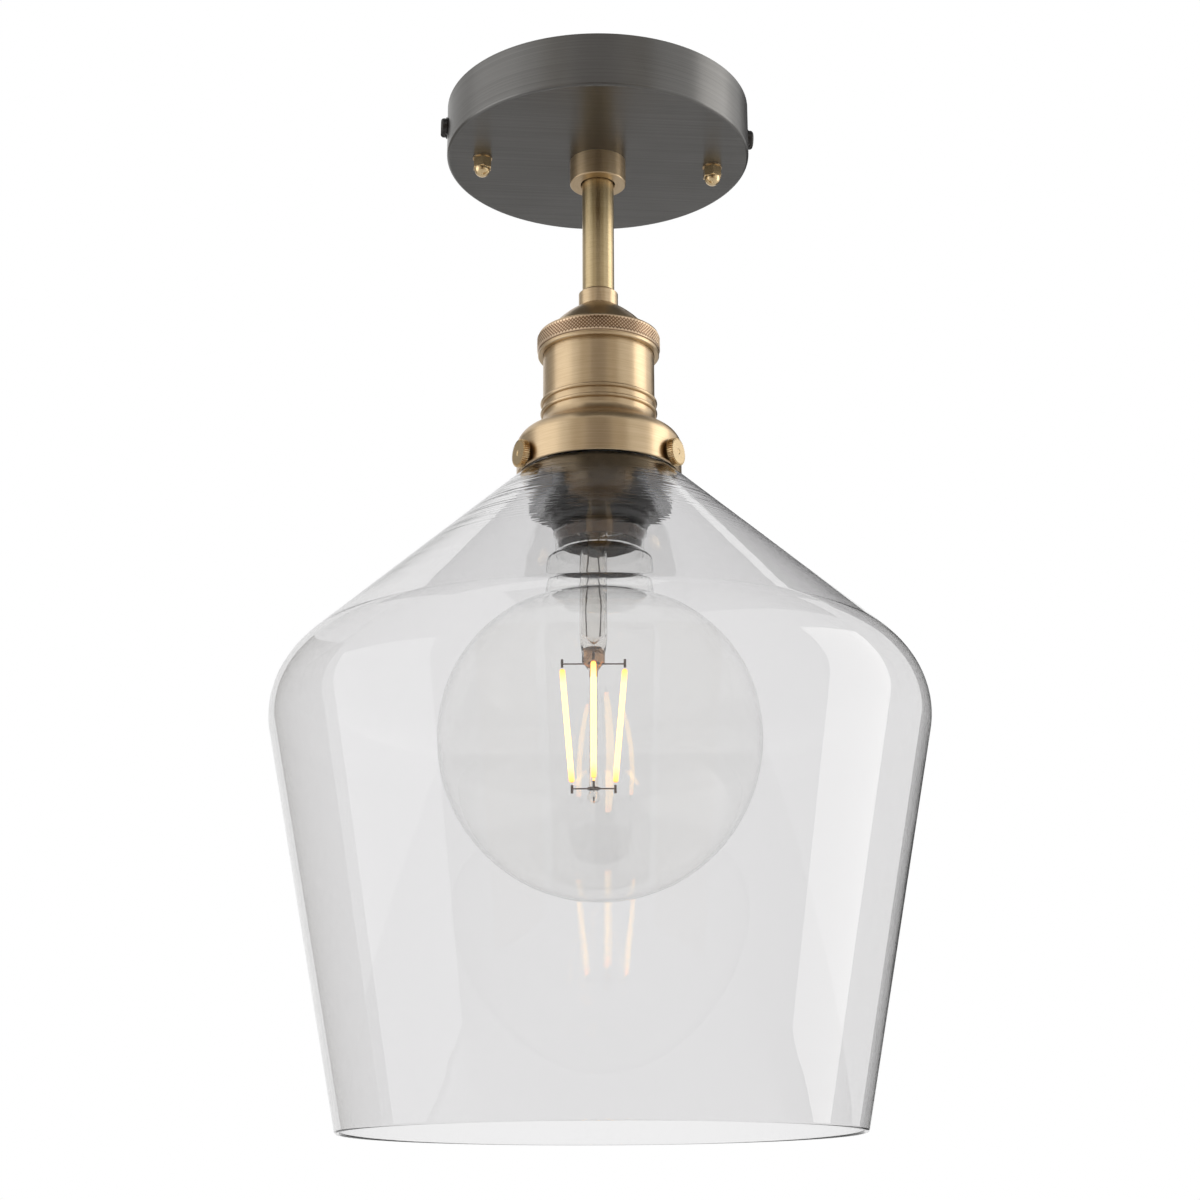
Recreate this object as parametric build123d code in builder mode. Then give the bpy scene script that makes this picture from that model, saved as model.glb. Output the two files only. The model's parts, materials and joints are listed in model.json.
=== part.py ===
from build123d import *
import os
from math import asin, atan2, cos, hypot, pi, radians, sin, sqrt, tan

# Schoolhouse flush mount light, as the separate pieces it is put together from.
# Millimetres, +Z up. The origin is the middle of the bracket's top face, which lies
# on the ceiling, so the whole lamp hangs below zero. The bracket runs along X.

os.makedirs("parts", exist_ok=True)

# Clearances
thread_clearance = 0.05
slip_clearance = 0.15
free_clearance = 0.3
cut_margin = 1.0

# Ceiling rose and its bracket
rose_radius = 62.7
rose_depth = 22.8
rose_wall = 1.2
rose_edge = 1.4
bracket_thickness = 2.0
bracket_width = 15.0
bracket_edge_gap = 0.8
bracket_corner = 1.2
tab_depth = 16.0
wing_width = 24.0
wing_corner = 2.0
stud_inset = 14.7
stud_to_slot = 9.0
slot_length = 18.0
slot_width = 4.6
slot_to_earth = 6.0
earth_screw_side = -2.0

# Screw threads and nuts
m4_radius = 1.95
m4_nut_flats = 7.0
m4_nut_height = 3.2
m3_radius = 1.45
m2_radius = 1.0
clamp_screw_radius = 1.25

# Cap nuts under the rose
stud_engagement = 5.3
stud_end_chamfer = 0.4
cap_nut_hex_height = 4.5
cap_nut_dome_radius = 3.3
cap_nut_height = 8.0
cap_nut_chamfer = 0.5
cap_nut_blind_end = 0.6
cap_washer_radius = 4.0
cap_washer_thickness = 0.5

# Side screws in the rose wall
side_screw_drop = 9.6
side_head_radius = 3.95
side_head_height = 2.2
side_head_rounding = 1.2
side_slot_width = 1.0
side_washer_radius = 4.4
side_washer_thickness = 0.5
side_screw_reach = 9.0

# Threaded tube, stem and collars
tube_radius = 5.0
tube_bore = 3.5
tube_top_stand = 2.0
tube_chamfer = 0.5
tube_nut_wall = 2.0
tube_nut_height = 3.0
lock_washer_width = 4.5
lock_washer_thickness = 0.8
stem_gap = 0.5
stem_wall = 1.0
stem_exposed = 48.8
top_collar_stand = 5.05
top_collar_height = 10.5
top_collar_gap = 0.45
top_collar_web = 4.0
low_collar_stand = 1.5
low_collar_height = 6.9
low_collar_seat = 3.9
low_collar_chamfer = 0.9

# Holder cap, shell and gallery
cap_dome_height = 12.7
cap_seat_depth = 3.5
cap_wall = 1.3
cap_ring_stand = 2.25
cap_ring_height = 7.1
cap_ring_edge = 0.6
cap_groove_depth = 0.5
cap_lip_height = 1.7
cap_lip_inset = 0.2
cap_thread_overlap = 7.0
shell_radius = 22.45
shell_wall = 1.0
shell_exposed = 26.2
shell_ledge = 0.8
bead_radius = 0.85
bead_stand = 0.2
bead_drops = (20.6, 24.9)
spigot_step = 1.05
spigot_wall = 1.8
spigot_length = 11.7
gallery_wall = 1.0
gallery_neck = 1.2
gallery_shoulder = 12.9
gallery_height = 25.4
gallery_plate_drop = 8.2
gallery_corner = 5.0
gallery_nut_wall = 4.6
gallery_nut_height = 3.0
gallery_nut_notch = (3.0, 4.0)

# Thumb screws round the gallery
thumb_count = 3
thumb_turn = 84.0
thumb_above_edge = 4.0
thumb_head_radius = 5.6
thumb_head_height = 2.8
thumb_head_gap = 0.6
thumb_head_chamfer = 0.35
thumb_teeth = 44
thumb_tooth_size = 0.45
thumb_pad_radius = 1.8
thumb_pad_length = 1.2
pad_peg_radius = 0.75
pad_peg_length = 0.9

# Glass shade and its gasket
neck_beyond_shell = 8.55
skirt_gap = 0.9
glass_wall = 2.0
glass_bend = 1.8
gasket_width = 2.6
gasket_length = 0.8
cone_angle = 41.8
shoulder_radius = 33.7
shade_radius = 126.3
rim_radius = 96.95
shade_drop = 254.2
edge_clearance = 0.2

# Lamp holder of black moulding with its brass threads
barrel_room = 0.4
barrel_reach = 47.7
barrel_flange_height = 4.0
barrel_mouth = 14.0
barrel_lip = 1.4
base_inset = 0.4
base_height = 8.0
plug_reach = 21.0
terminal_offset = 9.0
terminal_size = 7.0
terminal_height = 8.0
terminal_sink = 2.0
wire_hole_depth = 6.0
clamp_drop = 3.2
contact_screw_depth = 6.0
ring_to_glass = 0.5
ring_flange_height = 3.0
ring_hub_wall = 2.35
ring_above_mouth = 3.3
ring_hub_height = 3.7
holder_thread_root = 14.4
holder_thread_crest = 13.5
holder_thread_turns = 5
thread_lead_in = 5.0
thread_pitch = 3.63
sheet_metal = 0.4
screw_shell_hole = 9.0
tongue_metal = 0.5
tongue_width = 5.0

# Globe bulb with a rolled screw cap
bulb_cap_height = 27.0
cap_thread_crest = 13.2
cap_thread_root = 12.2
cap_thread_turns = 4
cap_thread_foot = 3.2
bulb_tip_radius = 4.6
bulb_tip_height = 0.8
insulator_radius = 9.0
insulator_height = 3.6
bulb_neck_radius = 11.3
bulb_neck_height = 12.0
bulb_flare_radius = 18.9
bulb_waist_radius = 17.65
bulb_bulge_radius = 21.4
bulb_glass_wall = 0.9
globe_radius = 62.5
throat_length = 25.6
throat_blend = 3.0
stem_offset = -2.5
bulb_stem_radius = 5.4
pinch_drop = 44.0
pinch_height = 10.2
rod_radius = 1.7
rod_length = 53.0
rod_ball_radius = 2.4
filament_radius = 1.05
filament_top_reach = 12.2
filament_foot_reach = 8.3
filament_count = 4
filament_turn = -5.0
lead_radius = 0.28
weld_radius = 0.5
driver_radius = 9.5

# Wiring
wire_radius = 1.0
wire_spread = 1.9
wire_bend = 8.0
pole_pitch = 9.0
pole_screw_row = 8.0
block_length = 27.0
block_depth = 17.0
block_height = 11.0
block_centre = 24.0
block_corner = 1.5
insert_radius = 2.3
insert_inset = 1.0
lug_radius = 3.6
lug_thickness = 0.8
lug_neck_width = 2.4
lug_sleeve_radius = 1.7
lug_sleeve_start = 4.2
lug_sleeve_length = 4.5

# Places along the bracket, worked inwards from the rose's wall
tab_face = rose_radius - rose_wall - bracket_edge_gap
stud_reach = rose_radius - stud_inset
slot_reach = stud_reach - stud_to_slot - slot_length / 2
earth_place = (slot_reach - slot_length / 2 - slot_to_earth, earth_screw_side)
wing_reach = block_centre + block_depth / 2

# Radii, worked outwards from the tube, the screw thread and the shell
tube_nut_flats = 2 * (tube_radius + tube_nut_wall)
collar_bore = tube_radius + slip_clearance
stem_radius = tube_radius + stem_gap + stem_wall
top_collar_radius = stem_radius + top_collar_stand
low_collar_radius = stem_radius + low_collar_stand
cap_ring_radius = shell_radius + cap_ring_stand
cap_bore = shell_radius + slip_clearance
shell_bore = shell_radius - shell_wall
spigot_radius = shell_radius - spigot_step
spigot_hole = spigot_radius + thread_clearance
gallery_nut_radius = spigot_radius + gallery_nut_wall
neck_radius = shell_radius + neck_beyond_shell
skirt_bore = neck_radius + skirt_gap
gallery_radius = skirt_bore + gallery_wall
barrel_bore = holder_thread_root + sheet_metal + barrel_room
barrel_radius = spigot_radius - spigot_wall - 2 * slip_clearance
barrel_flange_radius = shell_bore - free_clearance
base_radius = barrel_flange_radius - base_inset
ring_bore = barrel_radius + slip_clearance
ring_hub_radius = ring_bore + ring_hub_wall
ring_flange_radius = neck_radius - glass_wall - ring_to_glass

# Heights, stacked down from the ceiling
rose_face = -rose_depth
rose_floor = rose_face + rose_wall
collar_foot = rose_face - top_collar_height
low_collar_top = collar_foot - stem_exposed
cap_top = low_collar_top - low_collar_height
ring_top = cap_top - cap_dome_height
ring_foot = ring_top - cap_ring_height
shell_top = ring_foot - cap_lip_height
gallery_top = shell_top - shell_exposed
gallery_foot = gallery_top - gallery_height
spigot_foot = gallery_top - spigot_length
thumb_height = gallery_foot + thumb_above_edge
neck_corner = gallery_foot + edge_clearance
rim_height = neck_corner - shade_drop
mouth_height = gallery_top - barrel_reach
flange_seat = gallery_top + shell_ledge
flange_top = flange_seat + barrel_flange_height
bulb_rim = mouth_height + free_clearance
bulb_tip = bulb_rim + bulb_cap_height
globe_centre = bulb_rim - throat_length - sqrt(globe_radius**2 - bulb_bulge_radius**2)

# How a cylinder stands on its place: from there upwards, or from there downwards
upwards = (Align.CENTER, Align.CENTER, Align.MIN)
downwards = (Align.CENTER, Align.CENTER, Align.MAX)


def turned(*points):
    """A closed outline of (radius, height) corners, standing in the XZ plane."""
    with BuildSketch(Plane.XZ) as outline:
        with BuildLine():
            Polyline(*points, close=True)
        make_face()
    return outline.sketch


def rims(edges, *places):
    """The circular edges that lie at the given (radius, height) places."""
    circles = edges.filter_by(GeomType.CIRCLE)
    return [
        edge
        for edge in circles
        for radius, height in places
        if abs(edge.radius - radius) < 0.02 and abs(edge.arc_center.Z - height) < 0.02
    ]


def outward(angle, reach, height):
    """A plane that faces away from the lamp's axis, with its own x axis pointing up."""
    away = (cos(radians(angle)), sin(radians(angle)), 0)
    return Plane(origin=(reach * away[0], reach * away[1], height), x_dir=(0, 0, 1), z_dir=away)


def facing_down(height, across=0.0, along=0.0):
    """A plane that faces the floor, for the heads of screws that go up."""
    return Plane(origin=(across, along, height), x_dir=(1, 0, 0), z_dir=(0, 0, -1))


def slotted_screw(head_radius, head_height, shank_radius, shank_length, slot, rounding=0.0):
    """A screw at the origin: its head stands upwards and its shank goes down."""
    with BuildPart() as screw:
        Cylinder(head_radius, head_height, align=upwards)
        if rounding:
            fillet(rims(screw.edges(), (head_radius, head_height)), rounding)
        with BuildSketch(Plane.XY.offset(head_height)):
            Rectangle(2 * head_radius + cut_margin, slot)
        extrude(amount=-head_height / 2, mode=Mode.SUBTRACT)
        Cylinder(shank_radius, shank_length, align=downwards)
    return screw.part


def thread_waves(crest, root, start, turns):
    """Rolled rings that stand for a thread: arcs from start downwards, crest first."""
    middle = (crest + root) / 2
    for turn in range(turns):
        top = start - turn * thread_pitch
        half = top - thread_pitch / 2
        ThreePointArc((middle, top), (crest, top - thread_pitch / 4), (middle, half))
        ThreePointArc((middle, half), (root, half - thread_pitch / 4), (middle, top - thread_pitch))


# Mounting bracket: a strap with turned-down ends and a wing for the terminal block
with BuildPart() as mounting_bracket:
    with BuildSketch(Plane.XY):
        Rectangle(2 * tab_face, bracket_width)
        Rectangle(wing_width, wing_reach, align=(Align.CENTER, Align.MIN))
    extrude(amount=-bracket_thickness)
    with BuildSketch(Plane.XY):
        with GridLocations(2 * tab_face - bracket_thickness, 0, 2, 1):
            Rectangle(bracket_thickness, bracket_width)
    extrude(amount=-tab_depth)
    top_edges = mounting_bracket.edges().filter_by(Axis.Y).group_by(Axis.Z)[-1]
    fillet([edge for edge in top_edges if abs(edge.center().X) > slot_reach], bracket_corner)
    fillet(mounting_bracket.edges().filter_by(Axis.Z).group_by(Axis.Y)[-1], wing_corner)
    with BuildSketch(Plane.XY):
        with GridLocations(2 * slot_reach, 0, 2, 1):
            SlotOverall(slot_length, slot_width)
        with GridLocations(2 * stud_reach, 0, 2, 1):
            Circle(m4_radius + thread_clearance)
        with Locations(earth_place):
            Circle(m4_radius + thread_clearance)
        with Locations((0, block_centre)):
            with GridLocations(pole_pitch, 0, 2, 1):
                Circle(m3_radius + thread_clearance)
    extrude(amount=-bracket_thickness, mode=Mode.SUBTRACT)
    with Locations(Plane(origin=(0, 0, -side_screw_drop), z_dir=(1, 0, 0))):
        Cylinder(m4_radius + thread_clearance, 2 * tab_face + cut_margin, mode=Mode.SUBTRACT)
mounting_bracket.part.label = "mounting_bracket"
export_step(mounting_bracket.part, "parts/mounting_bracket.step")

# Two studs screwed into the bracket, each with a lock nut under it
cap_seat = rose_face - cap_washer_thickness
stud_foot = cap_seat - stud_engagement

with BuildPart() as bracket_studs:
    with BuildSketch(Plane.XY.offset(-free_clearance)):
        with GridLocations(2 * stud_reach, 0, 2, 1):
            Circle(m4_radius)
    extrude(amount=stud_foot + free_clearance)
    chamfer(rims(bracket_studs.edges(), (m4_radius, stud_foot)), stud_end_chamfer)
bracket_studs.part.label = "bracket_studs"
export_step(bracket_studs.part, "parts/bracket_studs.step")

with BuildPart() as bracket_stud_nuts:
    with BuildSketch(Plane.XY.offset(-bracket_thickness)):
        with GridLocations(2 * stud_reach, 0, 2, 1):
            RegularPolygon(m4_nut_flats / 2, 6, major_radius=False)
            Circle(m4_radius + thread_clearance, mode=Mode.SUBTRACT)
    extrude(amount=-m4_nut_height)
bracket_stud_nuts.part.label = "bracket_stud_nuts"
export_step(bracket_stud_nuts.part, "parts/bracket_stud_nuts.step")

# Ceiling rose: a drawn cup, open towards the ceiling
with BuildPart() as ceiling_rose:
    Cylinder(rose_radius, rose_depth, align=downwards)
    fillet(rims(ceiling_rose.edges(), (rose_radius, rose_face)), rose_edge)
    offset(amount=-rose_wall, openings=ceiling_rose.faces().sort_by(Axis.Z)[-1])
    with BuildSketch(Plane.XY.offset(rose_face)):
        Circle(tube_radius + slip_clearance)
        with GridLocations(2 * stud_reach, 0, 2, 1):
            Circle(m4_radius + free_clearance)
    extrude(amount=rose_wall, mode=Mode.SUBTRACT)
    with Locations(Plane(origin=(0, 0, -side_screw_drop), z_dir=(1, 0, 0))):
        Cylinder(m4_radius + free_clearance, 2 * rose_radius + cut_margin, mode=Mode.SUBTRACT)
ceiling_rose.part.label = "ceiling_rose"
export_step(ceiling_rose.part, "parts/ceiling_rose.step")

# Cap nuts and their washers
nut_corner_radius = m4_nut_flats / sqrt(3)

with BuildPart() as nut_round:
    revolve(
        turned(
            (0, 0),
            (nut_corner_radius + cut_margin, 0),
            (nut_corner_radius + cut_margin, cap_nut_chamfer - cap_nut_hex_height),
            (nut_corner_radius, cap_nut_chamfer - cap_nut_hex_height),
            (nut_corner_radius - cap_nut_chamfer, -cap_nut_hex_height),
            (0, -cap_nut_hex_height),
        ),
        axis=Axis.Z,
    )

for side, place in {"left": -stud_reach, "right": stud_reach}.items():
    washer_seat = Plane(origin=(place, 0, rose_face))
    with BuildPart() as cap_nut_washer:
        with BuildSketch(washer_seat):
            Circle(cap_washer_radius)
            Circle(m4_radius + slip_clearance, mode=Mode.SUBTRACT)
        extrude(amount=-cap_washer_thickness)
    cap_nut_washer.part.label = f"cap_nut_washer_{side}"
    export_step(cap_nut_washer.part, f"parts/cap_nut_washer_{side}.step")

    nut_seat = Plane(origin=(place, 0, cap_seat))
    with BuildPart(nut_seat) as cap_nut:
        with BuildSketch(nut_seat):
            RegularPolygon(m4_nut_flats / 2, 6, major_radius=False)
        extrude(amount=-cap_nut_hex_height)
        add(nut_round.part, mode=Mode.INTERSECT)
        with Locations((0, 0, cap_nut_dome_radius - cap_nut_height)):
            Sphere(cap_nut_dome_radius)
        Cylinder(cap_nut_dome_radius, cap_nut_height - cap_nut_dome_radius, align=downwards)
        Cylinder(
            m4_radius + thread_clearance,
            stud_engagement + cap_nut_blind_end,
            align=downwards,
            mode=Mode.SUBTRACT,
        )
    cap_nut.part.label = f"cap_nut_{side}"
    export_step(cap_nut.part, f"parts/cap_nut_{side}.step")

# Side screws through the rose wall into the bracket's tabs, with thin black washers
side_washer_seat = rose_radius + thread_clearance
side_head_seat = side_washer_seat + side_washer_thickness
side_screw_form = slotted_screw(
    side_head_radius, side_head_height, m4_radius, side_screw_reach, side_slot_width, side_head_rounding
)

for side, angle in {"left": 180, "right": 0}.items():
    with BuildPart() as side_screw_washer:
        with BuildSketch(outward(angle, side_washer_seat, -side_screw_drop)):
            Circle(side_washer_radius)
            Circle(m4_radius + slip_clearance, mode=Mode.SUBTRACT)
        extrude(amount=side_washer_thickness)
    side_screw_washer.part.label = f"side_screw_washer_{side}"
    export_step(side_screw_washer.part, f"parts/side_screw_washer_{side}.step")

    with BuildPart(outward(angle, side_head_seat, -side_screw_drop)) as side_screw:
        add(side_screw_form)
    side_screw.part.label = f"side_screw_{side}"
    export_step(side_screw.part, f"parts/side_screw_{side}.step")

# Terminal block under the bracket's wing, with its brass barrels and screws
block_foot = -bracket_thickness - block_height
pole_height = -bracket_thickness - block_height / 2
insert_length = block_depth - 2 * insert_inset
pole_head_radius = 1.6
pole_head_height = 1.5
pole_slot = 0.5
pole_well_radius = pole_head_radius + free_clearance
pole_screw_tip = pole_height - wire_radius - 0.1
pole_screw_neck = pole_height - insert_radius - free_clearance
block_head_radius = 2.6
block_head_height = 1.5
block_slot = 0.7
block_well_radius = block_head_radius + free_clearance
block_head_seat = block_foot + block_head_height + slip_clearance
poles = Plane(origin=(0, block_centre, pole_height), x_dir=(1, 0, 0), z_dir=(0, 1, 0))

with BuildPart() as terminal_block:
    with Locations((0, block_centre, pole_height)):
        Box(block_length, block_depth, block_height)
    fillet(terminal_block.edges().filter_by(Axis.Z), block_corner)
    with Locations(poles):
        with GridLocations(pole_pitch, 0, 3, 1):
            Cylinder(insert_radius + thread_clearance, block_depth + cut_margin, mode=Mode.SUBTRACT)
    with Locations((0, block_centre, pole_height)):
        with GridLocations(pole_pitch, pole_screw_row, 3, 2):
            Cylinder(pole_well_radius, block_height / 2, align=downwards, mode=Mode.SUBTRACT)
    with Locations((0, block_centre, -bracket_thickness)):
        with GridLocations(pole_pitch, 0, 2, 1):
            Cylinder(m3_radius + slip_clearance, block_height, align=downwards, mode=Mode.SUBTRACT)
    with Locations((0, block_centre, block_head_seat)):
        with GridLocations(pole_pitch, 0, 2, 1):
            Cylinder(block_well_radius, block_head_height + cut_margin, align=downwards, mode=Mode.SUBTRACT)
terminal_block.part.label = "terminal_block"
export_step(terminal_block.part, "parts/terminal_block.step")

with BuildPart() as terminal_inserts:
    with Locations(poles):
        with GridLocations(pole_pitch, 0, 3, 1):
            Cylinder(insert_radius, insert_length)
            Cylinder(wire_radius + free_clearance, insert_length, mode=Mode.SUBTRACT)
    with Locations((0, block_centre, pole_height)):
        with GridLocations(pole_pitch, pole_screw_row, 3, 2):
            Cylinder(m2_radius + thread_clearance, insert_radius, align=downwards, mode=Mode.SUBTRACT)
terminal_inserts.part.label = "terminal_inserts"
export_step(terminal_inserts.part, "parts/terminal_inserts.step")

pole_screw_form = slotted_screw(
    pole_head_radius, pole_head_height, m2_radius, pole_screw_tip - pole_screw_neck, pole_slot
)

with BuildPart() as terminal_screws:
    with Locations(facing_down(pole_screw_neck, along=block_centre)):
        with GridLocations(pole_pitch, pole_screw_row, 3, 2):
            add(pole_screw_form)
terminal_screws.part.label = "terminal_screws"
export_step(terminal_screws.part, "parts/terminal_screws.step")

block_screw_form = slotted_screw(
    block_head_radius,
    block_head_height,
    m3_radius,
    -block_head_seat - free_clearance,
    block_slot,
)

with BuildPart() as block_screws:
    with Locations(facing_down(block_head_seat, along=block_centre)):
        with GridLocations(pole_pitch, 0, 2, 1):
            add(block_screw_form)
block_screws.part.label = "block_screws"
export_step(block_screws.part, "parts/block_screws.step")

# Earth screw and the ring lug of the earth wire
lug_sleeve_height = -bracket_thickness - free_clearance - lug_sleeve_radius
earth_head_seat = -bracket_thickness - lug_thickness
earth_head_radius = 3.4
earth_head_height = 2.2
earth_slot = 0.9
sleeve = Plane(
    origin=(earth_place[0], earth_place[1] + lug_sleeve_start, lug_sleeve_height),
    x_dir=(1, 0, 0),
    z_dir=(0, 1, 0),
)

with BuildPart() as earth_lug:
    with BuildSketch(Plane.XY.offset(-bracket_thickness)):
        with Locations(earth_place):
            Circle(lug_radius)
            Rectangle(lug_neck_width, lug_sleeve_start + lug_sleeve_radius, align=(Align.CENTER, Align.MIN))
            Circle(m4_radius + slip_clearance, mode=Mode.SUBTRACT)
    extrude(amount=-lug_thickness)
    with Locations(sleeve):
        Cylinder(lug_sleeve_radius, lug_sleeve_length, align=upwards)
        Cylinder(wire_radius + thread_clearance, lug_sleeve_length, align=upwards, mode=Mode.SUBTRACT)
earth_lug.part.label = "earth_lug"
export_step(earth_lug.part, "parts/earth_lug.step")

earth_screw_form = slotted_screw(
    earth_head_radius,
    earth_head_height,
    m4_radius,
    -earth_head_seat - slip_clearance,
    earth_slot,
)

with BuildPart() as earth_screw:
    with Locations(facing_down(earth_head_seat, *earth_place)):
        add(earth_screw_form)
earth_screw.part.label = "earth_screw"
export_step(earth_screw.part, "parts/earth_screw.step")

# Threaded tube from the rose down into the holder cap, with its nuts
tube_top = rose_floor + lock_washer_thickness + tube_nut_height + tube_top_stand
cap_inner_seat = cap_top - cap_seat_depth
tube_foot = cap_inner_seat - tube_nut_height - tube_top_stand

with BuildPart() as threaded_tube:
    with BuildSketch(Plane.XY.offset(tube_top)):
        Circle(tube_radius)
        Circle(tube_bore, mode=Mode.SUBTRACT)
    extrude(amount=tube_foot - tube_top)
    chamfer(rims(threaded_tube.edges(), (tube_radius, tube_top), (tube_radius, tube_foot)), tube_chamfer)
threaded_tube.part.label = "threaded_tube"
export_step(threaded_tube.part, "parts/threaded_tube.step")

with BuildPart() as rose_lock_washer:
    with BuildSketch(Plane.XY.offset(rose_floor)):
        Circle(tube_radius + lock_washer_width)
        Circle(tube_radius + slip_clearance, mode=Mode.SUBTRACT)
    extrude(amount=lock_washer_thickness)
rose_lock_washer.part.label = "rose_lock_washer"
export_step(rose_lock_washer.part, "parts/rose_lock_washer.step")


def tube_nut(top):
    """A flat six-sided nut on the threaded tube, down from its top face."""
    with BuildPart() as nut:
        with BuildSketch(Plane.XY.offset(top)):
            RegularPolygon(tube_nut_flats / 2, 6, major_radius=False)
            Circle(tube_radius + thread_clearance, mode=Mode.SUBTRACT)
        extrude(amount=-tube_nut_height)
    return nut.part


with BuildPart() as rose_lock_nut:
    add(tube_nut(rose_floor + lock_washer_thickness + tube_nut_height))
rose_lock_nut.part.label = "rose_lock_nut"
export_step(rose_lock_nut.part, "parts/rose_lock_nut.step")

with BuildPart() as holder_lock_nut:
    add(tube_nut(cap_inner_seat))
holder_lock_nut.part.label = "holder_lock_nut"
export_step(holder_lock_nut.part, "parts/holder_lock_nut.step")

# Top collar, stem tube and lower collar, threaded over the tube like beads
collar_mouth = stem_radius + top_collar_gap
stem_top = rose_face - top_collar_web
stem_foot = low_collar_top - low_collar_seat
stem_seat_bore = stem_radius + slip_clearance

with BuildPart() as top_collar:
    revolve(
        turned(
            (collar_bore, rose_face),
            (top_collar_radius, rose_face),
            (top_collar_radius, collar_foot),
            (collar_mouth, collar_foot),
            (collar_mouth, stem_top),
            (collar_bore, stem_top),
        ),
        axis=Axis.Z,
    )
    fillet(rims(top_collar.edges(), (top_collar_radius, collar_foot)), 0.5)
    chamfer(rims(top_collar.edges(), (collar_mouth, collar_foot)), 0.3)
top_collar.part.label = "top_collar"
export_step(top_collar.part, "parts/top_collar.step")

with BuildPart() as stem_tube:
    with BuildSketch(Plane.XY.offset(stem_top)):
        Circle(stem_radius)
        Circle(stem_radius - stem_wall, mode=Mode.SUBTRACT)
    extrude(amount=stem_foot - stem_top)
stem_tube.part.label = "stem_tube"
export_step(stem_tube.part, "parts/stem_tube.step")

with BuildPart() as low_collar:
    revolve(
        turned(
            (collar_bore, cap_top),
            (low_collar_radius, cap_top),
            (low_collar_radius, low_collar_top),
            (stem_seat_bore, low_collar_top),
            (stem_seat_bore, stem_foot),
            (collar_bore, stem_foot),
        ),
        axis=Axis.Z,
    )
    chamfer(rims(low_collar.edges(), (low_collar_radius, low_collar_top)), low_collar_chamfer)
    fillet(rims(low_collar.edges(), (low_collar_radius, cap_top)), 0.3)
low_collar.part.label = "low_collar"
export_step(low_collar.part, "parts/low_collar.step")

# Holder cap: a low dome, a ring to grip, a fine groove and a plain lip
cap_groove_radius = cap_ring_radius - cap_groove_depth
cap_lip_radius = cap_ring_radius - cap_lip_inset
dome_shoulder = (cap_ring_radius - 4.9, cap_top - 10.3)
dome_middle = ((low_collar_radius + dome_shoulder[0]) / 2, (cap_top + dome_shoulder[1]) / 2 + 0.95)
dome_flare = (dome_shoulder[0] + 1.2, dome_shoulder[1] - 1.2)
dome_ledge = (cap_ring_radius - 1.3, ring_top + 0.3)
under_shoulder = (dome_shoulder[0] - 0.8, dome_shoulder[1] - cap_wall)
under_middle = (dome_middle[0] - 1.4, dome_middle[1] - cap_wall)
cap_seat_radius = tube_nut_flats / sqrt(3) + 2.4

with BuildPart() as holder_cap:
    with BuildSketch(Plane.XZ):
        with BuildLine():
            Line((collar_bore, cap_top), (low_collar_radius, cap_top))
            ThreePointArc((low_collar_radius, cap_top), dome_middle, dome_shoulder)
            ThreePointArc(dome_shoulder, dome_flare, dome_ledge)
            Polyline(
                dome_ledge,
                (cap_ring_radius - 0.4, ring_top),
                (cap_ring_radius, ring_top - cap_ring_edge),
                (cap_ring_radius, ring_foot + 0.2),
                (cap_groove_radius, ring_foot - 0.1),
                (cap_groove_radius, ring_foot - 0.3),
                (cap_lip_radius, ring_foot - cap_ring_edge),
                (cap_lip_radius, shell_top + 0.3),
                (cap_lip_radius - 0.3, shell_top),
                (cap_bore, shell_top),
                (cap_bore, shell_top + cap_thread_overlap + 0.6),
                under_shoulder,
                under_middle,
                (cap_seat_radius, cap_inner_seat),
                (collar_bore, cap_inner_seat),
                (collar_bore, cap_top),
            )
        make_face()
    revolve(axis=Axis.Z)
holder_cap.part.label = "holder_cap"
export_step(holder_cap.part, "parts/holder_cap.step")

# Holder shell: a plain barrel with two raised beads and a spigot for the gallery
ledge_bore = spigot_radius - spigot_wall

with BuildPart() as holder_shell:
    revolve(
        turned(
            (shell_bore, shell_top + cap_thread_overlap),
            (shell_radius, shell_top + cap_thread_overlap),
            (shell_radius, gallery_top),
            (spigot_radius, gallery_top),
            (spigot_radius, spigot_foot),
            (ledge_bore, spigot_foot),
            (ledge_bore, flange_seat),
            (shell_bore, flange_seat),
        ),
        axis=Axis.Z,
    )
    for drop in bead_drops:
        with Locations((0, 0, shell_top - drop)):
            Torus(shell_radius + bead_stand, bead_radius)
holder_shell.part.label = "holder_shell"
export_step(holder_shell.part, "parts/holder_shell.step")

# Gallery: the skirted cup that grips the shade's neck. Its shoulder is an S-curve, given
# as shares of the way from the shell out to the skirt and from the neck down to the shoulder.
plate_height = gallery_top - gallery_plate_drop
neck_foot = gallery_top - gallery_neck
shoulder_foot = gallery_top - gallery_shoulder
shoulder_shares = ((0.167, 0.325), (0.531, 0.504), (0.847, 0.701))
shoulder_points = [
    (
        shell_radius + across * (gallery_radius - shell_radius),
        neck_foot + down * (shoulder_foot - neck_foot),
    )
    for across, down in shoulder_shares
]
corner_centre = (skirt_bore - gallery_corner, plate_height - gallery_corner)
corner_middle = (
    corner_centre[0] + gallery_corner * cos(pi / 4),
    corner_centre[1] + gallery_corner * sin(pi / 4),
)
thumb_hole = m4_radius + thread_clearance
thumb_angles = [thumb_turn + index * 360 / thumb_count for index in range(thumb_count)]

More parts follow.
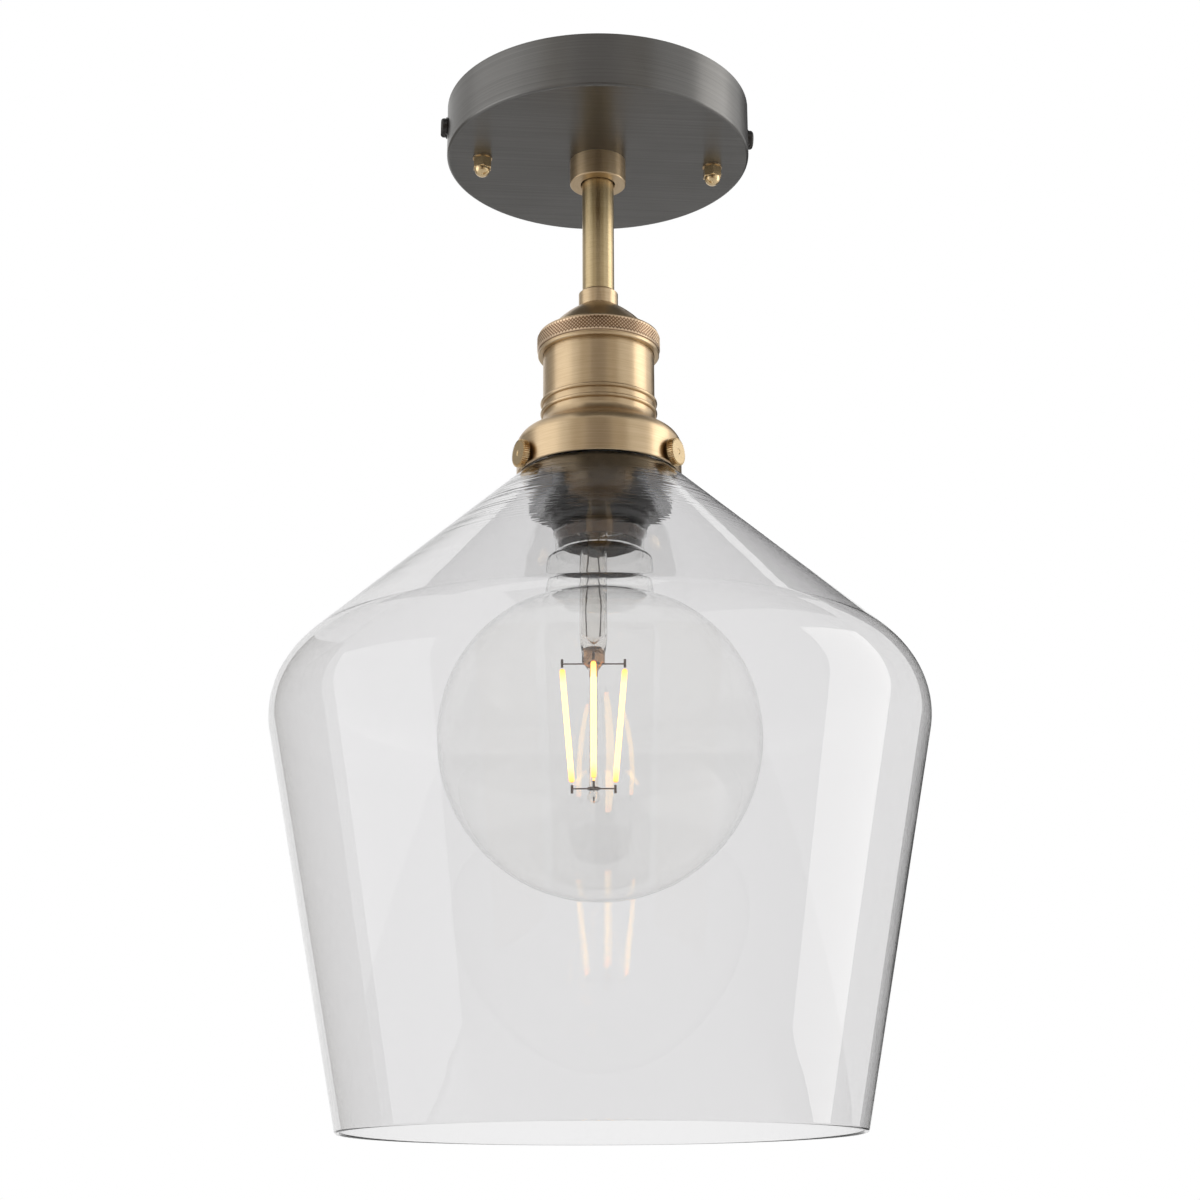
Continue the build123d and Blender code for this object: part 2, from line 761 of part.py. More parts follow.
with BuildPart() as gallery:
    with BuildSketch(Plane.XZ):
        with BuildLine():
            Polyline((spigot_hole, gallery_top), (shell_radius, gallery_top), (shell_radius, neck_foot))
            Spline(
                (shell_radius, neck_foot),
                *shoulder_points,
                (gallery_radius, shoulder_foot),
                tangents=((0, -1), (0, -1)),
            )
            Polyline(
                (gallery_radius, shoulder_foot),
                (gallery_radius, gallery_foot),
                (skirt_bore, gallery_foot),
                (skirt_bore, corner_centre[1]),
            )
            ThreePointArc((skirt_bore, corner_centre[1]), corner_middle, (corner_centre[0], plate_height))
            Polyline(
                (corner_centre[0], plate_height),
                (spigot_hole, plate_height),
                (spigot_hole, gallery_top),
            )
        make_face()
    revolve(axis=Axis.Z)
    fillet(rims(gallery.edges(), (gallery_radius, gallery_foot)), 0.3)
    for angle in thumb_angles:
        with Locations(outward(angle, skirt_bore - cut_margin, thumb_height)):
            Cylinder(thumb_hole, gallery_wall + 2 * cut_margin, align=upwards, mode=Mode.SUBTRACT)
gallery.part.label = "gallery"
export_step(gallery.part, "parts/gallery.step")

with BuildPart() as gallery_nut:
    with BuildSketch(Plane.XY.offset(plate_height)):
        Circle(gallery_nut_radius)
        Circle(spigot_hole, mode=Mode.SUBTRACT)
        with PolarLocations(gallery_nut_radius, 4):
            Rectangle(*gallery_nut_notch, mode=Mode.SUBTRACT)
    extrude(amount=-gallery_nut_height)
gallery_nut.part.label = "gallery_nut"
export_step(gallery_nut.part, "parts/gallery_nut.step")

# Gasket between the gallery's rounded corner and the glass
gasket_inner = neck_radius - glass_wall - free_clearance
gasket_outer = gasket_inner + gasket_width
gasket_middle = (gasket_inner + gasket_outer) / 2
gasket_arc = gallery_corner - 0.1
gasket_foot = corner_centre[1] + gasket_length


def corner_point(radius):
    """The point of the gasket's rounded back at a radius, just inside the gallery's corner."""
    return (radius, corner_centre[1] + sqrt(gasket_arc**2 - (radius - corner_centre[0]) ** 2))


with BuildPart() as gallery_gasket:
    with BuildSketch(Plane.XZ):
        with BuildLine():
            Polyline(
                corner_point(gasket_outer),
                (gasket_outer, gasket_foot),
                (gasket_inner, gasket_foot),
                corner_point(gasket_inner),
            )
            ThreePointArc(
                corner_point(gasket_inner), corner_point(gasket_middle), corner_point(gasket_outer)
            )
        make_face()
    revolve(axis=Axis.Z)
gallery_gasket.part.label = "gallery_gasket"
export_step(gallery_gasket.part, "parts/gallery_gasket.step")

# Thumb screws and the soft pads at their tips, which stop just short of the glass
pad_tip = neck_radius + free_clearance
pad_root = pad_tip + thumb_pad_length
thumb_head_seat = gallery_radius + thumb_head_gap
peg_clearance = 0.05
peg_hole_depth = 1.0

for index, angle in enumerate(thumb_angles):
    with BuildPart(outward(angle, thumb_head_seat, thumb_height)) as thumb_screw:
        Cylinder(thumb_head_radius, thumb_head_height, align=upwards)
        chamfer(thumb_screw.edges().filter_by(GeomType.CIRCLE), thumb_head_chamfer)
        with PolarLocations(thumb_head_radius + 0.1, thumb_teeth):
            Box(
                thumb_tooth_size,
                thumb_tooth_size,
                2 * thumb_head_height + cut_margin,
                rotation=(0, 0, 45),
                mode=Mode.SUBTRACT,
            )
        Cylinder(m4_radius, thumb_head_seat - pad_root, align=downwards)
        with Locations((0, 0, pad_root - thumb_head_seat)):
            Cylinder(pad_peg_radius + peg_clearance, peg_hole_depth, align=upwards, mode=Mode.SUBTRACT)
    thumb_screw.part.label = f"thumb_screw_{index + 1}"
    export_step(thumb_screw.part, f"parts/thumb_screw_{index + 1}.step")

    with BuildPart(outward(angle, pad_tip, thumb_height)) as thumb_screw_pad:
        Cylinder(thumb_pad_radius, thumb_pad_length, align=upwards)
        with Locations((0, 0, thumb_pad_length)):
            Cylinder(pad_peg_radius, pad_peg_length, align=upwards)
    thumb_screw_pad.part.label = f"thumb_screw_pad_{index + 1}"
    export_step(thumb_screw_pad.part, f"parts/thumb_screw_pad_{index + 1}.step")

# Glass shade: plain neck, straight cone, round shoulder and a wall that draws in to the rim
slope = (cos(radians(cone_angle)), -sin(radians(cone_angle)))
cone_normal = (-slope[1], slope[0])
shoulder_centre_radius = shade_radius - shoulder_radius
shoulder_centre_height = neck_corner - (
    shoulder_radius + (shoulder_centre_radius - neck_radius) * cone_normal[0]
) / cone_normal[1]
to_rim = (rim_radius - shoulder_centre_radius, rim_height - shoulder_centre_height)
wall_angle = atan2(to_rim[1], to_rim[0]) + pi / 2 - asin(shoulder_radius / hypot(*to_rim))
neck_top = gasket_foot - 0.1


def shade_line(inset):
    """Points of the shade's outline from neck to rim, moved into the glass by inset."""
    radius = shoulder_radius - inset
    corner = (neck_radius - inset, neck_corner - inset * (1 - cone_normal[0]) / cone_normal[1])
    turn = atan2(cone_normal[1], cone_normal[0])
    bends = [
        (shoulder_centre_radius + radius * cos(a), shoulder_centre_height + radius * sin(a))
        for a in (turn, (turn + wall_angle) / 2, wall_angle)
    ]
    fall = (rim_height - bends[2][1]) / cos(wall_angle)
    rim = (bends[2][0] + fall * -sin(wall_angle), rim_height)
    return [(corner[0], neck_top), corner, *bends, rim]


outer_line = shade_line(0)
inner_line = shade_line(glass_wall)

with BuildPart() as glass_shade:
    with BuildSketch(Plane.XZ):
        with BuildLine():
            Polyline(outer_line[0], outer_line[1], outer_line[2])
            ThreePointArc(outer_line[2], outer_line[3], outer_line[4])
            Polyline(outer_line[4], outer_line[5], inner_line[5], inner_line[4])
            ThreePointArc(inner_line[4], inner_line[3], inner_line[2])
            Polyline(inner_line[2], inner_line[1], inner_line[0], outer_line[0])
        make_face()
    revolve(axis=Axis.Z)
    fillet(rims(glass_shade.edges(), outer_line[1], inner_line[1]), glass_bend)
    fillet(rims(glass_shade.edges(), outer_line[5], inner_line[5]), glass_wall * 0.42)
    fillet(rims(glass_shade.edges(), outer_line[0], inner_line[0]), glass_wall * 0.2)
glass_shade.part.label = "glass_shade"
export_step(glass_shade.part, "parts/glass_shade.step")

# Socket barrel of black moulding, hung by its flange on the shell's inner ledge
with BuildPart() as socket_barrel:
    revolve(
        turned(
            (barrel_bore, flange_top),
            (barrel_flange_radius, flange_top),
            (barrel_flange_radius, flange_seat),
            (barrel_radius, flange_seat),
            (barrel_radius, mouth_height),
            (barrel_mouth, mouth_height),
            (barrel_mouth, mouth_height + barrel_lip),
            (barrel_bore, mouth_height + barrel_lip),
        ),
        axis=Axis.Z,
    )
    chamfer(rims(socket_barrel.edges(), (barrel_radius, mouth_height)), 0.7)
    fillet(rims(socket_barrel.edges(), (barrel_mouth, mouth_height)), 0.5)
socket_barrel.part.label = "socket_barrel"
export_step(socket_barrel.part, "parts/socket_barrel.step")

# Socket base: a moulded disc on the barrel's flange, with a plug that reaches into the barrel
base_top = flange_top + base_height
plug_foot = flange_top - plug_reach
contact_hole = m3_radius + thread_clearance

with BuildPart() as socket_base:
    with BuildSketch(Plane.XY.offset(flange_top)):
        Circle(base_radius)
    extrude(amount=base_height)
    with BuildSketch(Plane.XY.offset(flange_top)):
        Circle(barrel_bore - slip_clearance)
    extrude(amount=-plug_reach)
    fillet(rims(socket_base.edges(), (base_radius, base_top)), 1.0)
    with BuildSketch(Plane.XY.offset(base_top)):
        with GridLocations(2 * terminal_offset, 0, 2, 1):
            Rectangle(terminal_size + 2 * thread_clearance, terminal_size + 2 * thread_clearance)
    extrude(amount=-terminal_sink, mode=Mode.SUBTRACT)
    with BuildSketch(Plane.XY.offset(plug_foot)):
        Circle(contact_hole)
    extrude(amount=contact_screw_depth + cut_margin, mode=Mode.SUBTRACT)
socket_base.part.label = "socket_base"
export_step(socket_base.part, "parts/socket_base.step")

# Holder terminals: two brass blocks in pockets of the base, with clamp screws at the side
terminal_foot = base_top - terminal_sink
terminal_top = terminal_foot + terminal_height
clamp_height = terminal_top - clamp_drop
terminal_face = terminal_offset + terminal_size / 2
clamp_hole = clamp_screw_radius + thread_clearance

with BuildPart() as holder_terminals:
    with BuildSketch(Plane.XY.offset(terminal_foot)):
        with GridLocations(2 * terminal_offset, 0, 2, 1):
            Rectangle(terminal_size, terminal_size)
    extrude(amount=terminal_height)
    with BuildSketch(Plane.XY.offset(terminal_top)):
        with GridLocations(2 * terminal_offset, 0, 2, 1):
            Circle(wire_radius + free_clearance)
    extrude(amount=-wire_hole_depth, mode=Mode.SUBTRACT)
    with Locations(outward(0, terminal_face, clamp_height), outward(180, terminal_face, clamp_height)):
        Cylinder(clamp_hole, terminal_size / 2, align=downwards, mode=Mode.SUBTRACT)
holder_terminals.part.label = "holder_terminals"
export_step(holder_terminals.part, "parts/holder_terminals.step")

clamp_tip = terminal_offset + wire_radius + 0.1
clamp_seat = terminal_face + slip_clearance
clamp_head_radius = 2.2
clamp_head_height = 1.4
clamp_slot = 0.6
clamp_screw_form = slotted_screw(
    clamp_head_radius, clamp_head_height, clamp_screw_radius, clamp_seat - clamp_tip, clamp_slot
)

with BuildPart() as holder_terminal_screws:
    with Locations(outward(0, clamp_seat, clamp_height), outward(180, clamp_seat, clamp_height)):
        add(clamp_screw_form)
holder_terminal_screws.part.label = "holder_terminal_screws"
export_step(holder_terminal_screws.part, "parts/holder_terminal_screws.step")

# Brass screw shell, flanged flat against the plug
wave_start = plug_foot - thread_lead_in
wave_end = wave_start - holder_thread_turns * thread_pitch
thread_middle = (holder_thread_crest + holder_thread_root) / 2
outer_middle = thread_middle + sheet_metal

with BuildPart() as socket_screw_shell:
    with BuildSketch(Plane.XZ):
        with BuildLine():
            Polyline((screw_shell_hole, plug_foot), (outer_middle, plug_foot), (outer_middle, wave_start))
            thread_waves(
                holder_thread_crest + sheet_metal,
                holder_thread_root + sheet_metal,
                wave_start,
                holder_thread_turns,
            )
            Line((outer_middle, wave_end), (thread_middle, wave_end))
            thread_waves(holder_thread_crest, holder_thread_root, wave_start, holder_thread_turns)
            Polyline(
                (thread_middle, wave_start),
                (thread_middle, plug_foot - sheet_metal),
                (screw_shell_hole, plug_foot - sheet_metal),
                (screw_shell_hole, plug_foot),
            )
        make_face()
    revolve(axis=Axis.Z)
socket_screw_shell.part.label = "socket_screw_shell"
export_step(socket_screw_shell.part, "parts/socket_screw_shell.step")

# Centre contact: a spring tongue under the plug, pressed by the bulb's tip
tongue_foot = bulb_tip + 0.1
tongue_root = -3.5
tongue_tip = -2.5
tongue_elbow = (6.6, plug_foot - 1.1)
tongue_bend = 3.0

with BuildPart() as centre_contact:
    with BuildSketch(Plane.XZ):
        with BuildLine():
            Polyline(
                (tongue_root, plug_foot),
                (tongue_elbow[0] - 1.1, plug_foot),
                tongue_elbow,
                (tongue_bend, tongue_foot),
                (tongue_tip, tongue_foot),
                (tongue_tip, tongue_foot + tongue_metal),
                (tongue_bend - 0.2, tongue_foot + tongue_metal),
                (tongue_elbow[0] - 0.7, tongue_elbow[1]),
                (tongue_elbow[0] - 1.3, plug_foot - tongue_metal),
                (tongue_root, plug_foot - tongue_metal),
                close=True,
            )
        make_face()
    extrude(amount=tongue_width / 2, both=True)
    with Locations((0, 0, plug_foot)):
        Cylinder(contact_hole, 4 * tongue_metal, mode=Mode.SUBTRACT)
centre_contact.part.label = "centre_contact"
export_step(centre_contact.part, "parts/centre_contact.step")

contact_head_radius = 2.4
contact_head_height = 1.1

with BuildPart() as contact_screw:
    with Locations((0, 0, plug_foot - tongue_metal)):
        Cylinder(contact_head_radius, contact_head_height, align=downwards)
        Cylinder(m3_radius, contact_screw_depth, align=upwards)
contact_screw.part.label = "contact_screw"
export_step(contact_screw.part, "parts/contact_screw.step")

# Ring on the barrel, with a wide flange and a stepped hub
hub_foot = mouth_height + ring_above_mouth
flange_foot = hub_foot + ring_hub_height

with BuildPart() as socket_ring:
    revolve(
        turned(
            (ring_bore, flange_foot + ring_flange_height),
            (ring_flange_radius, flange_foot + ring_flange_height),
            (ring_flange_radius, flange_foot),
            (ring_hub_radius, flange_foot),
            (ring_hub_radius, hub_foot),
            (ring_bore, hub_foot),
        ),
        axis=Axis.Z,
    )
    fillet(rims(socket_ring.edges(), (ring_flange_radius, flange_foot)), 0.6)
    fillet(rims(socket_ring.edges(), (ring_hub_radius, hub_foot)), 0.5)
socket_ring.part.label = "socket_ring"
export_step(socket_ring.part, "parts/socket_ring.step")

# Wires: live and neutral run down the tube to the holder, earth runs to the bracket
wire_entry = block_centre - 3.0
block_front = block_centre - block_depth / 2
tube_entry = tube_top + 8.3
fan_out = tube_foot - 5.0
terminal_entry = terminal_top + 3.5
wire_end = terminal_top - 5.0
sleeve_mouth = earth_place[1] + lug_sleeve_start + lug_sleeve_length

live_route = [
    (-pole_pitch, wire_entry, pole_height),
    (-pole_pitch, block_front - 2.5, pole_height),
    (-wire_spread, 0, tube_entry),
    (-wire_spread, 0, fan_out),
    (-terminal_offset, 0, terminal_entry),
    (-terminal_offset, 0, wire_end),
]
neutral_route = [
    (0, wire_entry, pole_height),
    (0, block_front - 3.5, pole_height),
    (wire_spread, 0, tube_entry),
    (wire_spread, 0, fan_out),
    (terminal_offset, 0, terminal_entry),
    (terminal_offset, 0, wire_end),
]
earth_route = [
    (pole_pitch, wire_entry, pole_height),
    (pole_pitch, block_front - 2.5, pole_height),
    (earth_place[0], sleeve_mouth + 2.2, lug_sleeve_height),
    (earth_place[0], sleeve_mouth - 3.5, lug_sleeve_height),
]


def bend_radii(route, largest):
    """One radius for each inner corner: as large as its two runs allow, up to largest."""
    radii = []
    for before, corner, after in zip(route, route[1:], route[2:]):
        arriving = Vector(*corner) - Vector(*before)
        leaving = Vector(*after) - Vector(*corner)
        half_turn = radians(arriving.get_angle(leaving)) / 2
        room = 0.45 * min(arriving.length, leaving.length) / tan(half_turn)
        radii.append(min(room, largest))
    return radii


def wire(route, radius, largest):
    """A round wire swept along straight runs joined by tangent arcs."""
    radii = bend_radii(route, largest)
    print("bend radii", [round(value, 1) for value in radii])
    with BuildPart() as piece:
        with BuildLine() as path:
            FilletPolyline(*route, radius=radii)
        with BuildSketch(Plane(origin=path.line @ 0, z_dir=path.line % 0)):
            Circle(radius)
        sweep()
    return piece.part


with BuildPart() as live_wire:
    add(wire(live_route, wire_radius, wire_bend))
live_wire.part.label = "live_wire"
export_step(live_wire.part, "parts/live_wire.step")

with BuildPart() as neutral_wire:
    add(wire(neutral_route, wire_radius, wire_bend))
neutral_wire.part.label = "neutral_wire"
export_step(neutral_wire.part, "parts/neutral_wire.step")

with BuildPart() as earth_wire:
    add(wire(earth_route, wire_radius, wire_bend))
earth_wire.part.label = "earth_wire"
export_step(earth_wire.part, "parts/earth_wire.step")

# Bulb cap: a rolled screw shell that closes on a glass insulator and the tip contact
cap_middle = (cap_thread_crest + cap_thread_root) / 2
cap_inner = cap_middle - sheet_metal
cap_skirt = cap_thread_crest - 0.1
cap_wave_end = bulb_rim + cap_thread_foot
cap_wave_start = cap_wave_end + cap_thread_turns * thread_pitch
cap_shoulder = cap_wave_start + 2.4
insulator_foot = bulb_tip - insulator_height

with BuildPart() as bulb_cap:
    with BuildSketch(Plane.XZ):
        with BuildLine():
            Polyline(
                (insulator_radius, insulator_foot + sheet_metal),
                (cap_middle - 0.6, cap_shoulder),
                (cap_middle, cap_shoulder - 1.2),
                (cap_middle, cap_wave_start),
            )
            thread_waves(cap_thread_crest, cap_thread_root, cap_wave_start, cap_thread_turns)
            Polyline(
                (cap_middle, cap_wave_end),
                (cap_skirt, cap_wave_end - 0.8),
                (cap_skirt, bulb_rim),
                (cap_skirt - sheet_metal, bulb_rim),
                (cap_skirt - sheet_metal, cap_wave_end - 0.6),
                (cap_inner, cap_wave_end),
            )
            thread_waves(
                cap_thread_crest - sheet_metal,
                cap_thread_root - sheet_metal,
                cap_wave_start,
                cap_thread_turns,
            )
            Polyline(
                (cap_inner, cap_wave_start),
                (cap_inner, cap_shoulder - 1.4),
                (cap_inner - 0.6, cap_shoulder - sheet_metal),
                (insulator_radius, insulator_foot),
                (insulator_radius, insulator_foot + sheet_metal),
            )
        make_face()
    revolve(axis=Axis.Z)
bulb_cap.part.label = "bulb_cap"
export_step(bulb_cap.part, "parts/bulb_cap.step")

tip_foot = bulb_tip - bulb_tip_height
tip_peg_radius = 1.1
tip_peg_length = 2.0

with BuildPart() as bulb_insulator:
    revolve(
        turned(
            (tip_peg_radius + 0.1, insulator_foot),
            (insulator_radius - 0.1, insulator_foot),
            (insulator_radius - 0.1, insulator_foot + 2 * sheet_metal),
            (bulb_tip_radius + 0.6, tip_foot),
            (tip_peg_radius + 0.1, tip_foot),
        ),
        axis=Axis.Z,
    )
bulb_insulator.part.label = "bulb_insulator"
export_step(bulb_insulator.part, "parts/bulb_insulator.step")

with BuildPart() as bulb_contact:
    with Locations((0, 0, bulb_tip)):
        Cylinder(bulb_tip_radius, bulb_tip_height, align=downwards)
    fillet(rims(bulb_contact.edges(), (bulb_tip_radius, bulb_tip)), 0.5)
    with Locations((0, 0, tip_foot)):
        Cylinder(tip_peg_radius, tip_peg_length, align=downwards)
bulb_contact.part.label = "bulb_contact"
export_step(bulb_contact.part, "parts/bulb_contact.step")

# Bulb glass: a neck inside the cap, a flared collar, a bulged throat and the globe.
# The drops are how far below the cap's rim each part of the throat lies.
neck_glass_top = bulb_rim + bulb_neck_height
collar_drop = 0.4
flare_drop = 2.4
waist_drop = 6.3
waist_end_drop = 11.3
bulge_drop = 13.9
bulge_full_drop = 22.0
bulge_draw_in = 0.6
throat_rounding = 1.2


def bulb_body(inset, top):
    """The bulb's outline as a solid, moved into the glass by inset."""
    globe = globe_radius - inset
    bulge = bulb_bulge_radius - inset
    seam = globe_centre + sqrt(globe**2 - bulge**2)
    flare_corner = (bulb_flare_radius - inset, bulb_rim - flare_drop - inset * 0.6)
    waist_corner = (bulb_waist_radius - inset, bulb_rim - waist_drop)
    bulge_corner = (bulge - bulge_draw_in, bulb_rim - bulge_drop - inset * 0.6)
    with BuildPart() as body:
        revolve(
            turned(
                (0, top),
                (bulb_neck_radius - inset, top),
                (bulb_neck_radius - inset, bulb_rim - collar_drop - inset * 0.8),
                flare_corner,
                waist_corner,
                (bulb_waist_radius - inset, bulb_rim - waist_end_drop - inset * 0.5),
                bulge_corner,
                (bulge, bulb_rim - bulge_full_drop),
                (bulge, seam - 0.5),
                (0, seam - 0.5),
            ),
            axis=Axis.Z,
        )
        fillet(rims(body.edges(), flare_corner, waist_corner, bulge_corner), throat_rounding)
        with Locations((0, 0, globe_centre)):
            Sphere(globe)
        fillet(rims(body.edges(), (bulge, seam)), throat_blend + inset)
    return body.part


outer_bulb = bulb_body(0.0, neck_glass_top)
inner_bulb = bulb_body(bulb_glass_wall, neck_glass_top - bulb_glass_wall)

with BuildPart() as bulb_glass:
    add(outer_bulb)
    add(inner_bulb, mode=Mode.SUBTRACT)
bulb_glass.part.label = "bulb_glass"
export_step(bulb_glass.part, "parts/bulb_glass.step")

# Glass stem inside the bulb: flare, tube, pinch and the rod that carries the filaments
flare_top = neck_glass_top - bulb_glass_wall - 0.1
flare_top_radius = bulb_neck_radius - bulb_glass_wall - 0.1
flare_foot = bulb_rim - 3.0
pinch_top = bulb_rim - pinch_drop
pinch_foot = pinch_top - pinch_height
rod_foot = pinch_foot - rod_length
pinch_width = bulb_stem_radius - 0.9
pinch_depth = 2.6

with BuildPart() as bulb_stem:
    for shrink, mode in ((0.0, Mode.ADD), (bulb_glass_wall, Mode.SUBTRACT)):
        with BuildSketch(Plane.XY.offset(flare_top)):
            Circle(flare_top_radius - shrink)
        with BuildSketch(Plane.XY.offset(flare_foot)):
            with Locations((stem_offset, 0)):
                Circle(bulb_stem_radius - shrink)
        loft(mode=mode)
    with BuildSketch(Plane.XY.offset(flare_foot)):
        with Locations((stem_offset, 0)):
            Circle(bulb_stem_radius)
            Circle(bulb_stem_radius - bulb_glass_wall, mode=Mode.SUBTRACT)
    extrude(amount=pinch_top - flare_foot)
    with BuildSketch(Plane.XY.offset(pinch_top)):
        with Locations((stem_offset, 0)):
            Circle(bulb_stem_radius)
    with BuildSketch(Plane.XY.offset(pinch_foot)):
        with Locations((stem_offset, 0)):
            Ellipse(pinch_width, pinch_depth)
    loft()
    with BuildSketch(Plane.XY.offset(pinch_foot)):
        with Locations((stem_offset, 0)):
            Circle(rod_radius)
    extrude(amount=rod_foot - pinch_foot)
    with Locations((stem_offset, 0, rod_foot)):
        Sphere(rod_ball_radius)
bulb_stem.part.label = "bulb_stem"
export_step(bulb_stem.part, "parts/bulb_stem.step")

# Driver board in the cap and the two leads through the stem
driver_foot = neck_glass_top + 0.1
board_thickness = 1.2
part_height = 2.6

with BuildPart() as bulb_driver:
    with BuildSketch(Plane.XY.offset(driver_foot)):
        Circle(driver_radius)
    extrude(amount=board_thickness)
    with BuildSketch(Plane.XY.offset(driver_foot + board_thickness)):
        with Locations((-3.2, 1.0)):
            Rectangle(4.5, 5.0)
        with Locations((4.4, 0)):
            Circle(2.3)
    extrude(amount=part_height)
bulb_driver.part.label = "bulb_driver"
export_step(bulb_driver.part, "parts/bulb_driver.step")

lead_bend = 20.0

with BuildPart() as bulb_leads:
    for side in (-1, 1):
        lead_route = [
            (stem_offset * 0.6 + side * 2.2, 0, flare_top - 0.4),
            (stem_offset + side * 2.0, 0.6 * side, bulb_rim - 12.0),
            (stem_offset + side * 3.0, -0.8 * side, bulb_rim - 30.0),
            (stem_offset + side * 2.6, 0, pinch_top + 0.1),
        ]
        add(wire(lead_route, lead_radius, lead_bend))
bulb_leads.part.label = "bulb_leads"
export_step(bulb_leads.part, "parts/bulb_leads.step")

# Filaments and the wire spiders that hold them at the top and the foot of the rod
spider_top = pinch_foot - 0.6
spider_foot = rod_foot + 3.2
spider_thickness = 0.8
weld_length = 3.2
filament_top = spider_top - 2.0
filament_foot = spider_foot + 2.4
fan = [radians(filament_turn + index * 360 / filament_count) for index in range(filament_count)]


def fan_point(angle, reach, height):
    """A point at a reach from the rod, in the direction of one filament."""
    return (stem_offset + reach * cos(angle), reach * sin(angle), height)


def spider(height, reach, weld_shift):
    """A ring round the rod with one arm and one welded tip for each filament."""
    with BuildPart() as piece:
        with BuildSketch(Plane.XY.offset(height - spider_thickness / 2)):
            with Locations((stem_offset, 0)):
                Circle(rod_radius + 0.7)
                Circle(rod_radius + thread_clearance, mode=Mode.SUBTRACT)
        extrude(amount=spider_thickness)
        for angle in fan:
            arm_start = rod_radius + 0.4
            arm_plane = Plane(origin=fan_point(angle, arm_start, height), z_dir=(cos(angle), sin(angle), 0))
            with Locations(arm_plane):
                Cylinder(lead_radius, reach - arm_start, align=upwards)
            with Locations(fan_point(angle, reach, height + weld_shift)):
                Cylinder(weld_radius, weld_length)
    return piece.part


with BuildPart() as filament_spider_top:
    add(spider(spider_top, filament_top_reach, 0.2))
filament_spider_top.part.label = "filament_spider_top"
export_step(filament_spider_top.part, "parts/filament_spider_top.step")

with BuildPart() as filament_spider_foot:
    add(spider(spider_foot, filament_foot_reach, -0.2))
filament_spider_foot.part.label = "filament_spider_foot"
export_step(filament_spider_foot.part, "parts/filament_spider_foot.step")

with BuildPart() as bulb_filaments:
    for angle in fan:
        upper = Vector(*fan_point(angle, filament_top_reach, filament_top))
        lower = Vector(*fan_point(angle, filament_foot_reach, filament_foot))
        along = lower - upper
        with Locations(Plane(origin=upper, z_dir=along)):
            Cylinder(filament_radius, along.length, align=upwards)
bulb_filaments.part.label = "bulb_filaments"
export_step(bulb_filaments.part, "parts/bulb_filaments.step")
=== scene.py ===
"""Looks of a schoolhouse ceiling light: metal, glass and bulb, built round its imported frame."""

import json
import logging
from dataclasses import dataclass
from enum import Enum
from math import acos, asin, atan2, cos, degrees, hypot, pi, radians, sin, tan
from typing import Callable, NamedTuple

import bpy
from mathutils import Matrix, Vector


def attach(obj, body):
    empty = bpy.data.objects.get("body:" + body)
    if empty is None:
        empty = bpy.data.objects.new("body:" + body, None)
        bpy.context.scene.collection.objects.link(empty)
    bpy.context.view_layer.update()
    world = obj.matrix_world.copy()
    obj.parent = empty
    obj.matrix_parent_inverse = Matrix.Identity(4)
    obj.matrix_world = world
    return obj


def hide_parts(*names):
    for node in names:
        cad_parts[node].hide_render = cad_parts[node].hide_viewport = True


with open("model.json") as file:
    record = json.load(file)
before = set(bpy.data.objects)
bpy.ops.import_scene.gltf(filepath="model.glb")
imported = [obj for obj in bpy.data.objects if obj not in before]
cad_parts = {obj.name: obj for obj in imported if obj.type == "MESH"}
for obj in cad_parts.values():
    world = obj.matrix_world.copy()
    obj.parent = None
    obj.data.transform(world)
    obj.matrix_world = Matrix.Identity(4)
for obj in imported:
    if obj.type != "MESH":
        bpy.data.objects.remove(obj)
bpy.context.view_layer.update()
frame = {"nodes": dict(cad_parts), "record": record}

LOG = logging.getLogger("schoolhouse_light")
MM = 0.001
WELD = 1e-6
GRAIN_SLOPE = 0.8
STRAIGHT_STREAKS = 9.0
SPECK_EDGE = 0.1
THUMB_ANGLES = (84, 204, 324)
THUMB_HEIGHT = -158.1
Point = tuple[float, float]
Colour = tuple[float, float, float]


# Outlines: lists of (radius, height) points in millimetres

def arc(centre: Point, radius: float, start: float, end: float, steps: int) -> list[Point]:
    """Places points along a round bend.

    Args:
        centre: Middle of the bend.
        radius: Its radius.
        start: Angle of the first point, in degrees.
        end: Angle of the last point, in degrees.
        steps: Number of straight pieces.

    Returns:
        The points from start to end.
    """
    angles = (radians(start + (end - start) * step / steps) for step in range(steps + 1))
    return [(centre[0] + radius * cos(a), centre[1] + radius * sin(a)) for a in angles]


def arc_through(first: Point, middle: Point, last: Point, steps: int) -> list[Point]:
    """Places points along the round bend through three points.

    Args:
        first: Where the bend starts.
        middle: A point on the way.
        last: Where the bend ends.
        steps: Number of straight pieces.

    Returns:
        The points from first to last.
    """
    ax, ay, bx, by, cx, cy = *first, *middle, *last
    spread = 2 * (ax * (by - cy) + bx * (cy - ay) + cx * (ay - by))
    a2, b2, c2 = ax * ax + ay * ay, bx * bx + by * by, cx * cx + cy * cy
    centre = (
        (a2 * (by - cy) + b2 * (cy - ay) + c2 * (ay - by)) / spread,
        (a2 * (cx - bx) + b2 * (ax - cx) + c2 * (bx - ax)) / spread,
    )
    start = degrees(atan2(ay - centre[1], ax - centre[0]))
    turn = (degrees(atan2(cy - centre[1], cx - centre[0])) - start + 180) % 360 - 180
    return arc(centre, hypot(ax - centre[0], ay - centre[1]), start, start + turn, steps)


